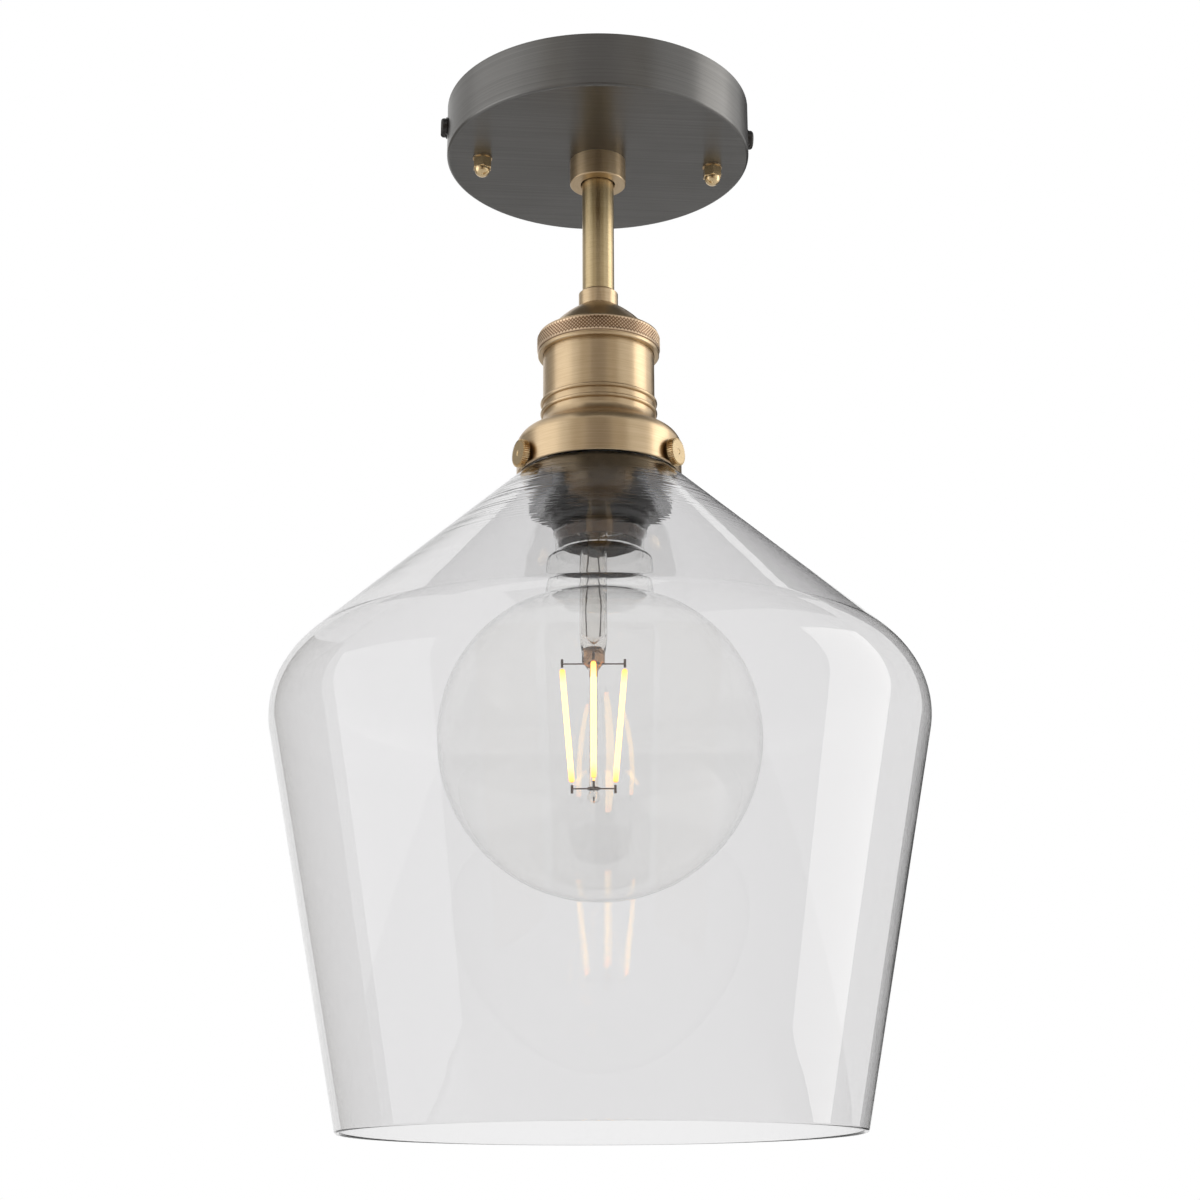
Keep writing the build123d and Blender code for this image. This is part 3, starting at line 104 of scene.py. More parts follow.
def rounded(corners: list[tuple[float, ...]], steps: int = 6) -> list[Point]:
    """Rounds the corners of a closed outline.

    Args:
        corners: Each corner's radius, height and, where it is rounded, its fillet.
        steps: Number of straight pieces in each rounding.

    Returns:
        The points of the outline.
    """
    points: list[Point] = []
    for index, corner in enumerate(corners):
        here = Vector(corner[:2])
        if len(corner) < 3:
            points.append(corner[:2])
            continue
        fillet = corner[2]
        before = (Vector(corners[index - 1][:2]) - here).normalized()
        after = (Vector(corners[(index + 1) % len(corners)][:2]) - here).normalized()
        half = before.angle(after) / 2
        centre = here + (before + after).normalized() * fillet / sin(half)
        start = here + before * fillet / tan(half) - centre
        end = here + after * fillet / tan(half) - centre
        first = degrees(atan2(start.y, start.x))
        turn = (degrees(atan2(end.y, end.x)) - first + 180) % 360 - 180
        points += arc(tuple(centre), fillet, first, first + turn, steps)
    return points


def flowing(points: list[Point], steps: int) -> list[Point]:
    """Draws a smooth line through points that starts and ends vertically.

    Args:
        points: Where the line goes.
        steps: Number of straight pieces between two points.

    Returns:
        The points of the line.
    """
    spots = [Vector(p) for p in points]
    slopes = [(b - a) / 2 for a, b in zip(spots, spots[2:])]
    slopes.insert(0, Vector((0, -(spots[1] - spots[0]).length)))
    slopes.append(Vector((0, -(spots[-1] - spots[-2]).length)))
    line = []
    for a, b, out, into in zip(spots, spots[1:], slopes, slopes[1:]):
        for step in range(steps):
            t = step / steps
            spot = a * (2 * t**3 - 3 * t**2 + 1) + out * (t**3 - 2 * t**2 + t)
            line.append(tuple(spot + b * (3 * t**2 - 2 * t**3) + into * (t**3 - t**2)))
    return line + [tuple(spots[-1])]


# Modelling steps

def only(piece: bpy.types.Object) -> None:
    """Selects one piece and makes it the active one.

    Args:
        piece: The piece.
    """
    bpy.ops.object.select_all(action="DESELECT")
    piece.select_set(True)
    bpy.context.view_layer.objects.active = piece


def settle(piece: bpy.types.Object, matrix: Matrix | None = None) -> bpy.types.Object:
    """Moves a piece and puts its place into its mesh.

    Args:
        piece: The piece to move.
        matrix: Where it goes, or None to keep its place.

    Returns:
        The same piece.
    """
    only(piece)
    if matrix is not None:
        piece.matrix_world = matrix @ piece.matrix_world
    bpy.ops.object.transform_apply(location=True, rotation=True, scale=True)
    return piece


def modify(piece: bpy.types.Object, kind: str, **settings: object) -> None:
    """Adds a modifier and applies it.

    Args:
        piece: The piece to change.
        kind: The modifier's type.
        settings: The modifier's own settings.
    """
    only(piece)
    modifier = piece.modifiers.new(kind.lower(), kind)
    for key, value in settings.items():
        setattr(modifier, key, value)
    bpy.ops.object.modifier_apply(modifier=modifier.name)


def smooth(piece: bpy.types.Object, sharp: float) -> None:
    """Shades a piece smooth, with flat places kept flat.

    Args:
        piece: The piece to shade.
        sharp: Angle in degrees from which an edge stays sharp.
    """
    only(piece)
    bpy.ops.object.shade_smooth_by_angle(angle=radians(sharp))
    modify(piece, "WEIGHTED_NORMAL", keep_sharp=True)


def turn(name: str, outline: list[Point], steps: int, sharp: float = 30.0,
         inside_out: bool = False) -> bpy.types.Object:
    """Spins a closed outline round the vertical axis, as on a lathe.

    Args:
        name: The piece's name.
        outline: Its (radius, height) points in millimetres.
        steps: Number of faces round the axis.
        sharp: Angle in degrees from which an edge stays sharp.
        inside_out: Whether the faces point inwards, as on the inner wall of a hollow.

    Returns:
        The turned piece.
    """
    bpy.ops.object.select_all(action="DESELECT")
    start = (outline[0][0] * MM, 0, outline[0][1] * MM)
    bpy.ops.mesh.primitive_plane_add(size=MM, location=start)
    piece = bpy.context.object
    piece.name = name
    settle(piece)
    bpy.ops.object.mode_set(mode="EDIT")
    bpy.ops.mesh.select_all(action="SELECT")
    bpy.ops.mesh.merge(type="CENTER")
    for here, there in zip(outline, outline[1:] + outline[:1]):
        step = ((there[0] - here[0]) * MM, 0, (there[1] - here[1]) * MM)
        bpy.ops.mesh.extrude_vertices_move(TRANSFORM_OT_translate={"value": step})
    bpy.ops.mesh.select_all(action="SELECT")
    bpy.ops.mesh.remove_doubles(threshold=WELD)
    bpy.ops.mesh.select_all(action="SELECT")
    bpy.ops.mesh.spin(
        steps=steps, angle=2 * pi, center=(0, 0, 0), axis=(0, 0, 1), use_auto_merge=True
    )
    bpy.ops.mesh.select_all(action="SELECT")
    bpy.ops.mesh.remove_doubles(threshold=WELD)
    bpy.ops.mesh.delete_loose(use_verts=True, use_edges=True, use_faces=False)
    bpy.ops.mesh.select_all(action="SELECT")
    bpy.ops.mesh.normals_make_consistent(inside=inside_out)
    bpy.ops.object.mode_set(mode="OBJECT")
    smooth(piece, sharp)
    return piece


def pick(piece: bpy.types.Object, wanted: Callable[[Vector], bool]) -> None:
    """Selects points of a piece by their place.

    Args:
        piece: The piece.
        wanted: Tells for a place in millimetres whether its point is selected.
    """
    only(piece)
    bpy.ops.object.mode_set(mode="EDIT")
    bpy.ops.mesh.select_mode(type="VERT")
    bpy.ops.mesh.select_all(action="DESELECT")
    bpy.ops.object.mode_set(mode="OBJECT")
    for vertex in piece.data.vertices:
        vertex.select = wanted(vertex.co / MM)


def swell(piece: bpy.types.Object, scale: tuple[float, float, float], centre: Vector) -> None:
    """Scales the picked points of a piece.

    Args:
        piece: The piece, with its points picked.
        scale: Factor along each axis.
        centre: The fixed point, in millimetres.
    """
    only(piece)
    bpy.ops.object.mode_set(mode="EDIT")
    bpy.ops.transform.resize(value=scale, center_override=centre * MM)
    bpy.ops.object.mode_set(mode="OBJECT")


def shift(piece: bpy.types.Object, offset: tuple[float, float, float]) -> None:
    """Moves the picked points of a piece.

    Args:
        piece: The piece, with its points picked.
        offset: How far they move, in millimetres.
    """
    only(piece)
    bpy.ops.object.mode_set(mode="EDIT")
    bpy.ops.transform.translate(value=Vector(offset) * MM)
    bpy.ops.object.mode_set(mode="OBJECT")


def rod(name: str, radius: float, length: float, steps: int = 32) -> bpy.types.Object:
    """Makes a closed vertical cylinder, centred on the origin.

    Args:
        name: The piece's name.
        radius: Its radius in millimetres.
        length: Its length in millimetres.
        steps: Number of faces round it.

    Returns:
        The cylinder.
    """
    bpy.ops.object.select_all(action="DESELECT")
    bpy.ops.mesh.primitive_cylinder_add(vertices=steps, radius=radius * MM, depth=length * MM)
    bpy.context.object.name = name
    return bpy.context.object


def drill(piece: bpy.types.Object, radius: float, length: float, places: list[Matrix]) -> None:
    """Cuts round holes through a piece.

    Args:
        piece: The piece to cut.
        radius: Radius of the holes in millimetres.
        length: Length of the drill in millimetres.
        places: Where the drill's middle and axis go.
    """
    for place in places:
        bit = settle(rod("drill", radius, length), place)
        modify(piece, "BOOLEAN", operation="DIFFERENCE", object=bit, solver="EXACT")
        bpy.data.objects.remove(bit)


def copied(piece: bpy.types.Object, name: str, matrix: Matrix) -> bpy.types.Object:
    """Copies a piece with its own mesh.

    Args:
        piece: The piece to copy.
        name: The copy's name.
        matrix: Where the copy goes.

    Returns:
        The copy.
    """
    only(piece)
    bpy.ops.object.duplicate(linked=False)
    twin = bpy.context.object
    twin.name = name
    return settle(twin, matrix)


def joined(pieces: list[bpy.types.Object], name: str) -> bpy.types.Object:
    """Joins pieces into one.

    Args:
        pieces: The pieces; the first one takes in the rest.
        name: The joined piece's name.

    Returns:
        The joined piece.
    """
    only(pieces[0])
    for piece in pieces:
        piece.select_set(True)
    bpy.ops.object.join()
    pieces[0].name = name
    return pieces[0]


def at(x: float, y: float, z: float) -> Matrix:
    """Gives the move to a place in millimetres."""
    return Matrix.Translation(Vector((x, y, z)) * MM)


def outward(angle: float, reach: float, height: float) -> Matrix:
    """Gives the place whose vertical axis points away from the lamp's axis.

    Args:
        angle: Direction round the lamp in degrees.
        reach: Distance from the axis in millimetres.
        height: Height in millimetres.

    Returns:
        The matrix that lays a vertical piece along that direction.
    """
    tilt = Matrix.Rotation(radians(angle), 4, "Z") @ Matrix.Rotation(pi / 2, 4, "Y")
    direction = Vector((cos(radians(angle)) * reach, sin(radians(angle)) * reach, height))
    return Matrix.Translation(direction * MM) @ tilt


# Nodes

def node(tree: bpy.types.NodeTree, kind: str, feeds: dict | None = None,
         **settings: object) -> bpy.types.Node:
    """Adds a shader node.

    Args:
        tree: The node tree it goes in.
        kind: The node's type.
        feeds: Input name or number to a number, colour or output socket.
        settings: The node's own settings.

    Returns:
        The new node.
    """
    made = tree.nodes.new(kind)
    for key, value in settings.items():
        setattr(made, key, value)
    for socket, value in (feeds or {}).items():
        if isinstance(value, bpy.types.NodeSocket):
            tree.links.new(value, made.inputs[socket])
        else:
            made.inputs[socket].default_value = value
    return made


def maths(tree: bpy.types.NodeTree, operation: str, *values: object) -> bpy.types.NodeSocket:
    """Adds a sum of one, two or three values and returns its result."""
    return node(tree, "ShaderNodeMath", dict(enumerate(values)), operation=operation).outputs[0]


def vectors(tree: bpy.types.NodeTree, operation: str, *values: object) -> bpy.types.Node:
    """Adds a node that works on one or two vectors."""
    return node(tree, "ShaderNodeVectorMath", dict(enumerate(values)), operation=operation)


def mixed(tree: bpy.types.NodeTree, mask: object, first: object,
          second: object) -> bpy.types.NodeSocket:
    """Mixes two colours by a mask.

    Args:
        tree: The node tree.
        mask: 0 for the first colour, 1 for the second.
        first: A colour or an output socket.
        second: A colour or an output socket.

    Returns:
        The mixed colour.
    """
    colours = [(*c, 1.0) if isinstance(c, tuple) else c for c in (first, second)]
    feeds = {0: mask, 6: colours[0], 7: colours[1]}
    return node(tree, "ShaderNodeMix", feeds, data_type="RGBA").outputs[2]


def ramp(tree: bpy.types.NodeTree, value: object, low: object, high: object,
         start: float = 0.0, end: float = 1.0) -> bpy.types.NodeSocket:
    """Stretches a value from low..high to start..end and holds it there."""
    feeds = {0: value, 1: low, 2: high, 3: start, 4: end}
    return node(tree, "ShaderNodeMapRange", feeds, clamp=True).outputs[0]


class Spot(NamedTuple):
    """Where a shaded point lies on its piece, as node sockets."""

    place: bpy.types.NodeSocket
    x: bpy.types.NodeSocket
    y: bpy.types.NodeSocket
    z: bpy.types.NodeSocket
    flat: bpy.types.NodeSocket
    radius: bpy.types.NodeSocket


def spot_in(tree: bpy.types.NodeTree) -> Spot:
    """Reads the Object coordinates.

    Args:
        tree: The node tree.

    Returns:
        The place, its three parts, its level part and its distance from the lamp's axis.
    """
    place = node(tree, "ShaderNodeTexCoord").outputs["Object"]
    x, y, z = node(tree, "ShaderNodeSeparateXYZ", {0: place}).outputs
    flat = node(tree, "ShaderNodeCombineXYZ", {0: x, 1: y}).outputs[0]
    return Spot(place, x, y, z, flat, vectors(tree, "LENGTH", flat).outputs["Value"])


class Effect(Enum):
    """Surface effects that several finishes share, each one a node group."""

    ROUND_GRAIN = "round_grain"
    STRAIGHT_GRAIN = "straight_grain"
    MOTTLE = "mottle"
    SPECKS = "specks"
    WAVES = "waves"

    def group(self) -> bpy.types.NodeTree:
        """Returns the effect's node group, building it the first time."""
        return bpy.data.node_groups.get(self.value) or self.build()

    def build(self) -> bpy.types.NodeTree:
        """Builds the effect's node group.

        Returns:
            A group with a Size and a Reach input and a Value output.
        """
        tree = bpy.data.node_groups.new(self.value, "ShaderNodeTree")
        for label in ("Size", "Reach"):
            tree.interface.new_socket(label, in_out="INPUT", socket_type="NodeSocketFloat")
        tree.interface.new_socket("Value", in_out="OUTPUT", socket_type="NodeSocketFloat")
        given = node(tree, "NodeGroupInput")
        size, reach = given.outputs["Size"], given.outputs["Reach"]
        spot = spot_in(tree)
        if self in (Effect.ROUND_GRAIN, Effect.WAVES):
            way = vectors(tree, "NORMALIZE", spot.flat).outputs[0]
            around = node(
                tree, "ShaderNodeVectorMath", {0: way, "Scale": reach}, operation="SCALE"
            ).outputs[0]
            along = maths(tree, "SUBTRACT", spot.z, maths(tree, "MULTIPLY", spot.radius, GRAIN_SLOPE))
            rise = node(tree, "ShaderNodeCombineXYZ", {2: maths(tree, "MULTIPLY", along, size)})
            where = vectors(tree, "ADD", around, rise.outputs[0]).outputs[0]
            detail = 4.0 if self is Effect.ROUND_GRAIN else 1.0
            feeds = {"Vector": where, "Scale": 1.0, "Detail": detail, "Roughness": 0.6}
            value = node(tree, "ShaderNodeTexNoise", feeds).outputs[0]
        elif self is Effect.STRAIGHT_GRAIN:
            inside = maths(tree, "LESS_THAN", spot.radius, reach)
            across = maths(tree, "MULTIPLY", maths(tree, "MULTIPLY", spot.y, size), inside)
            feeds = {
                0: maths(tree, "MULTIPLY", spot.x, STRAIGHT_STREAKS),
                1: across,
                2: maths(tree, "MULTIPLY", spot.z, size),
            }
            where = node(tree, "ShaderNodeCombineXYZ", feeds).outputs[0]
            feeds = {"Vector": where, "Scale": 1.0, "Detail": 4.0, "Roughness": 0.65}
            value = node(tree, "ShaderNodeTexNoise", feeds).outputs[0]
        elif self is Effect.MOTTLE:
            feeds = {
                "Vector": spot.place, "Scale": size, "Detail": 5.0, "Roughness": 0.55, "Distortion": 0.4,
            }
            cloud = node(tree, "ShaderNodeTexNoise", feeds).outputs[0]
            half = maths(tree, "MULTIPLY", reach, 0.5)
            low, high = maths(tree, "SUBTRACT", 0.5, half), maths(tree, "ADD", 0.5, half)
            value = ramp(tree, cloud, low, high)
        else:
            feeds = {"Vector": spot.place, "Scale": size}
            cells = node(tree, "ShaderNodeTexVoronoi", feeds).outputs["Distance"]
            value = ramp(tree, maths(tree, "SUBTRACT", reach, cells), 0.0, SPECK_EDGE)
        node(tree, "NodeGroupOutput", {"Value": value})
        return tree

    def placed(self, tree: bpy.types.NodeTree, size: float, reach: float) -> bpy.types.NodeSocket:
        """Puts the effect in a material.

        Args:
            tree: The material's nodes.
            size: How fine the effect is, in repeats per metre.
            reach: Its second value: turn scale, wall radius, softness or share.

        Returns:
            The effect's value.
        """
        made = node(tree, "ShaderNodeGroup", node_tree=self.group())
        made.inputs["Size"].default_value = size
        made.inputs["Reach"].default_value = reach
        return made.outputs["Value"]


@dataclass(frozen=True)
class Look:
    """A named material that is built once."""

    name: str

    def material(self) -> bpy.types.Material:
        """Returns the material, building it the first time."""
        return bpy.data.materials.get(f"{self.name}_finish") or self.build()

    def started(self) -> tuple[bpy.types.Material, bpy.types.NodeTree, bpy.types.Node]:
        """Adds the material, still plain.

        Returns:
            The material, its nodes and its Principled shader.
        """
        made = bpy.data.materials.new(f"{self.name}_finish")
        made.use_nodes = True
        return made, made.node_tree, made.node_tree.nodes["Principled BSDF"]

    def build(self) -> bpy.types.Material:
        """Builds the material, each kind of finish in its own way."""
        raise NotImplementedError


@dataclass(frozen=True)
class Finish(Look):
    """A plain opaque finish: plated or painted metal, moulded plastic or rubber."""

    colour: Colour
    dark: Colour
    metallic: float = 1.0
    roughness: float = 0.35
    spread: float = 0.08
    grain: Effect = Effect.ROUND_GRAIN
    grain_size: float = 2600.0
    grain_reach: float = 1.6
    grain_depth: float = 0.25
    grain_height: float = 0.05
    grain_tone: float = 0.2
    patch_size: float = 60.0
    patch_depth: float = 0.35
    cloud_ratio: float = 2.3
    speck_size: float = 900.0
    speck_share: float = 0.1
    coat: float = 0.0
    coat_roughness: float = 0.1
    level: float = 0.5
    brushed: float = 0.0

    def tone(self, tree: bpy.types.NodeTree, grain: bpy.types.NodeSocket) -> bpy.types.NodeSocket:
        """Gives the colour over the surface.

        Args:
            tree: The material's nodes.
            grain: The grain's value.

        Returns:
            The colour: patches, specks and grain lines over the base.
        """
        patches = Effect.MOTTLE.placed(tree, self.patch_size, 0.5)
        specks = Effect.SPECKS.placed(tree, self.speck_size, self.speck_share)
        base = mixed(tree, maths(tree, "MULTIPLY", patches, self.patch_depth), self.colour, self.dark)
        base = mixed(tree, maths(tree, "MULTIPLY", specks, 0.5), base, self.dark)
        lines = ramp(tree, grain, 0.35, 0.7, 0.0, self.grain_tone)
        return mixed(tree, lines, base, self.dark)

    def across_lines(self, tree: bpy.types.NodeTree) -> bpy.types.NodeSocket:
        """Gives the direction in which brushing spreads a reflection.

        Args:
            tree: The material's nodes.

        Returns:
            Across the lathe lines, or across straight lines on a flat face.
        """
        if self.grain is Effect.STRAIGHT_GRAIN:
            face = maths(tree, "LESS_THAN", spot_in(tree).radius, self.grain_reach)
            feeds = {1: face, 2: maths(tree, "SUBTRACT", 1.0, face)}
            return node(tree, "ShaderNodeCombineXYZ", feeds).outputs[0]
        around = node(tree, "ShaderNodeTangent", direction_type="RADIAL", axis="Z").outputs[0]
        normal = node(tree, "ShaderNodeNewGeometry").outputs["Normal"]
        return vectors(tree, "CROSS_PRODUCT", normal, around).outputs[0]

    def build(self) -> bpy.types.Material:
        """Builds the finish's material.

        Returns:
            A Principled material with grain, patches and specks.
        """
        made, tree, shader = self.started()
        shader.inputs["Metallic"].default_value = self.metallic
        shader.inputs["Coat Weight"].default_value = self.coat
        shader.inputs["Coat Roughness"].default_value = self.coat_roughness
        shader.inputs["Specular IOR Level"].default_value = self.level
        if self.brushed:
            shader.inputs["Anisotropic"].default_value = self.brushed
            tree.links.new(self.across_lines(tree), shader.inputs["Tangent"])
        grain = self.grain.placed(tree, self.grain_size, self.grain_reach)
        clouds = Effect.MOTTLE.placed(tree, self.patch_size * self.cloud_ratio, 0.6)
        least, most = self.roughness - self.spread / 2, self.roughness + self.spread / 2
        rough = ramp(tree, clouds, 0.0, 1.0, least, most)
        feeds = {"Strength": self.grain_depth, "Distance": self.grain_height * MM, "Height": grain}
        bump = node(tree, "ShaderNodeBump", feeds)
        tree.links.new(self.tone(tree, grain), shader.inputs["Base Color"])
        tree.links.new(rough, shader.inputs["Roughness"])
        tree.links.new(bump.outputs[0], shader.inputs["Normal"])
        return made


@dataclass(frozen=True)
class KnurledFinish(Finish):
    """Brass whose knurled band has worn, pale crests over a darker, redder ground."""

    crest: Colour = (0.74, 0.56, 0.38)
    valley: Colour = (0.20, 0.11, 0.06)
    inner_radius: float = 23.95
    low_radius: float = 24.35
    high_radius: float = 24.75
    band_top: float = -102.2
    band_foot: float = -108.8

    def tone(self, tree: bpy.types.NodeTree, grain: bpy.types.NodeSocket) -> bpy.types.NodeSocket:
        """Gives the colour over the surface.

        Args:
            tree: The material's nodes.
            grain: The grain's value.

        Returns:
            The plain brass colour with the knurled band laid over it.
        """
        smooth_tone = super().tone(tree, grain)
        spot = spot_in(tree)
        crests = ramp(tree, spot.radius, self.low_radius * MM, self.high_radius * MM)
        under = maths(tree, "LESS_THAN", spot.z, self.band_top * MM)
        over = maths(tree, "GREATER_THAN", spot.z, self.band_foot * MM)
        outside = maths(tree, "GREATER_THAN", spot.radius, self.inner_radius * MM)
        band = maths(tree, "MULTIPLY", maths(tree, "MULTIPLY", under, over), outside)
        return mixed(tree, band, smooth_tone, mixed(tree, crests, self.valley, self.crest))


@dataclass(frozen=True)
class GlassFinish(Look):
    """Clear or smoke-tinted blown glass."""

    colour: Colour
    ior: float
    absorb: Colour
    density: float
    wave_size: float
    wave_reach: float
    wave_depth: float
    wave_height: float = 0.5
    ripple_gain: float = 0.0
    ripple_size: float = 380.0
    ripple_top: float = -166.0
    ripple_foot: float = -212.0

    def build(self) -> bpy.types.Material:
        """Builds the glass's material.

        Returns:
            A transmissive material with a tinted body and gently waved faces.
        """
        made, tree, shader = self.started()
        shader.inputs["Base Color"].default_value = (*self.colour, 1)
        shader.inputs["Transmission Weight"].default_value = 1.0
        shader.inputs["IOR"].default_value = self.ior
        waves = Effect.WAVES.placed(tree, self.wave_size, self.wave_reach)
        if self.ripple_gain:
            height, foot, top = spot_in(tree).z, self.ripple_foot * MM, self.ripple_top * MM
            near = ramp(tree, height, foot, top, 0.0, self.ripple_gain)
            ripples = Effect.WAVES.placed(tree, self.ripple_size, self.wave_reach)
            waves = maths(tree, "MULTIPLY_ADD", ripples, near, waves)
        feeds = {"Strength": self.wave_depth, "Distance": self.wave_height * MM, "Height": waves}
        bump = node(tree, "ShaderNodeBump", feeds)
        body = node(tree, "ShaderNodeVolumeAbsorption")
        body.inputs["Color"].default_value = (*self.absorb, 1)
        body.inputs["Density"].default_value = self.density
        shader.inputs["Roughness"].default_value = 0.0
        tree.links.new(bump.outputs[0], shader.inputs["Normal"])
        tree.links.new(body.outputs[0], tree.nodes["Material Output"].inputs["Volume"])
        return made


@dataclass(frozen=True)
class GlowFinish(Look):
    """A lit filament: golden along its length, orange near its ends and dark at its tips."""

    middle: Colour
    end: Colour
    tip: Colour
    strength: float
    top: float
    foot: float
    cold: Colour = (0.75, 0.55, 0.2)
    end_start: float = 0.70
    tip_start: float = 0.93
    tip_full: float = 0.97

    def build(self) -> bpy.types.Material:
        """Builds the filament's material.

        Returns:
            A glowing material whose colour changes with height.
        """
        made, tree, shader = self.started()
        shader.inputs["Roughness"].default_value = 0.6
        height = spot_in(tree).z
        centre, half = (self.top + self.foot) / 2 * MM, (self.top - self.foot) / 2 * MM
        away = maths(tree, "ABSOLUTE", maths(tree, "SUBTRACT", height, centre))
        near_end = ramp(tree, away, half * self.end_start, half * self.tip_start)
        at_tip = ramp(tree, away, half * self.tip_start, half * self.tip_full)
        grains = Effect.MOTTLE.placed(tree, 900.0, 0.8)
        warm = mixed(tree, maths(tree, "MULTIPLY", grains, 0.25), self.middle, self.end)
        glow = mixed(tree, near_end, warm, self.end)
        glow = mixed(tree, at_tip, glow, self.tip)
        tree.links.new(glow, shader.inputs["Emission Color"])
        tree.links.new(mixed(tree, at_tip, self.cold, self.tip), shader.inputs["Base Color"])
        shader.inputs["Emission Strength"].default_value = self.strength
        return made


PEWTER = Finish(
    "dark_pewter", (0.185, 0.180, 0.172), (0.10, 0.097, 0.092), roughness=0.36, spread=0.06,
    grain=Effect.STRAIGHT_GRAIN, grain_size=2400.0, grain_reach=0.0617, grain_depth=0.4,
    grain_tone=0.6, patch_size=18.0, patch_depth=0.25, coat=0.1, coat_roughness=0.12, brushed=0.75,
)
BRASS = Finish(
    "antique_brass", (0.62, 0.475, 0.30), (0.34, 0.22, 0.11), roughness=0.34, grain_depth=0.4,
    grain_tone=0.35, patch_size=45.0, patch_depth=0.2, coat=0.06, brushed=0.75,
)
KNURLED = KnurledFinish(
    "knurled_brass", (0.62, 0.475, 0.30), (0.34, 0.22, 0.11), roughness=0.32,
    grain_depth=0.3, grain_tone=0.28, patch_size=45.0, patch_depth=0.2, coat=0.06,
)
POLISHED = Finish(
    "polished_brass", (0.74, 0.56, 0.32), (0.40, 0.26, 0.12), roughness=0.22, spread=0.06,
    grain_depth=0.12, grain_tone=0.12, patch_depth=0.2, coat=0.2,
)
STEM_BRASS = Finish(
    "drawn_stem_brass", (0.58, 0.455, 0.26), (0.31, 0.215, 0.10), roughness=0.30, spread=0.06,
    grain_depth=0.35, grain_tone=0.35, patch_size=40.0, patch_depth=0.25, coat=0.06, brushed=0.75,
)
SMOKE = GlassFinish(
    "smoke_glass", (0.98, 0.98, 0.985), 1.5, (0.30, 0.28, 0.27), 80.0, 55.0, 1.1, 0.08, ripple_gain=3.0,
)
BULB_CLEAR = GlassFinish(
    "bulb_clear_glass", (0.985, 0.985, 0.98), 1.48, (0.5, 0.5, 0.5), 25.0, 40.0, 0.9, 0.05,
)
STEM_GLASS = GlassFinish(
    "bulb_stem_glass", (0.95, 0.94, 0.92), 1.5, (0.6, 0.5, 0.4), 20.0, 180.0, 1.6, 0.4,
)
GLOW = GlowFinish(
    "filament_glow", (1.0, 0.66, 0.22), (1.0, 0.30, 0.04), (0.02, 0.015, 0.012),
    strength=4.0, top=-239.8, foot=-286.8,
)
SEAL_COPPER = Finish(
    "stem_seal_copper", (0.90, 0.58, 0.34), (0.16, 0.07, 0.03), roughness=0.24, spread=0.2,
    grain=Effect.MOTTLE, grain_size=420.0, grain_reach=0.6, grain_depth=1.0,
    patch_size=300.0, patch_depth=0.9,
)
CEMENT_BROWN = Finish(
    "cement_brown", (0.11, 0.06, 0.03), (0.03, 0.016, 0.01), metallic=0.6, roughness=0.25,
    spread=0.15, grain=Effect.MOTTLE, grain_size=300.0, grain_reach=0.6, grain_depth=0.4,
    patch_size=140.0, patch_depth=0.8,
)
BLACK_GLOSS = Finish(
    "black_moulding", (0.012, 0.012, 0.013), (0.03, 0.03, 0.03), metallic=0.0, roughness=0.2,
    grain=Effect.MOTTLE, grain_size=500.0, grain_reach=0.6, grain_depth=0.05, coat=0.4,
)


def plain(name: str, colour: Colour, dark: Colour, **changes: object) -> Finish:
    """Gives a finish without lathe lines, for cast, moulded or plated small parts."""
    settings = dict(grain=Effect.MOTTLE, grain_size=700.0, grain_reach=0.6, grain_depth=0.15)
    return Finish(name, colour, dark, **{**settings, **changes})


SOFT = dict(metallic=0.0)
SLOT_FINISHES: dict[str, Look] = {
    look.name: look for look in (
        plain("zinc_steel", (0.62, 0.62, 0.63), (0.40, 0.40, 0.41), roughness=0.38),
        plain("bare_brass", (0.72, 0.55, 0.30), (0.45, 0.30, 0.13), roughness=0.3),
        plain("black_steel", (0.045, 0.043, 0.042), (0.10, 0.095, 0.09), roughness=0.38, patch_depth=0.4),
        plain("terminal_plastic", (0.80, 0.79, 0.76), (0.62, 0.60, 0.56), **SOFT),
        plain("gasket_rubber", (0.03, 0.03, 0.03), (0.06, 0.06, 0.06), roughness=0.7, **SOFT),
        plain("soft_pad", (0.10, 0.10, 0.10), (0.18, 0.18, 0.17), roughness=0.8, **SOFT),
        plain("brown_wire", (0.16, 0.06, 0.025), (0.09, 0.03, 0.012), roughness=0.45, **SOFT),
        plain("blue_wire", (0.03, 0.12, 0.42), (0.02, 0.06, 0.24), roughness=0.45, **SOFT),
        plain("earth_green_wire", (0.06, 0.30, 0.08), (0.55, 0.50, 0.04),
              patch_size=120.0, patch_depth=1.0, **SOFT),
        plain("bulb_cap_metal", (0.42, 0.30, 0.20), (0.16, 0.10, 0.06), roughness=0.3),
        plain("bulb_insulator_glass", (0.02, 0.02, 0.03), (0.06, 0.06, 0.08), **SOFT),
        plain("filament_wire", (0.05, 0.04, 0.035), (0.22, 0.14, 0.09), roughness=0.35),
        plain("driver_board", (0.04, 0.16, 0.07), (0.02, 0.07, 0.03), roughness=0.5, **SOFT),
        BLACK_GLOSS, SMOKE, BULB_CLEAR,
    )
}
SLOT_FINISHES |= {"pewter": PEWTER, "antique_brass": BRASS, "filament_phosphor": GLOW}


def fit(piece: bpy.types.Object, body: str, slot: str, finish: Look, *nodes: str) -> None:
    """Dresses a finished piece and joins it to the frame.

    Args:
        piece: The piece, in its place.
        body: The body it rides on.
        slot: The record's material slot; not used.
        finish: Its finish.
        nodes: The frame's nodes that it stands for.
    """
    piece.data.materials.clear()
    piece.data.materials.append(finish.material())
    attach(piece, body)
    if nodes:
        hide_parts(*nodes)
    LOG.info("%s rides on %s, %d faces", piece.name, body, len(piece.data.polygons))


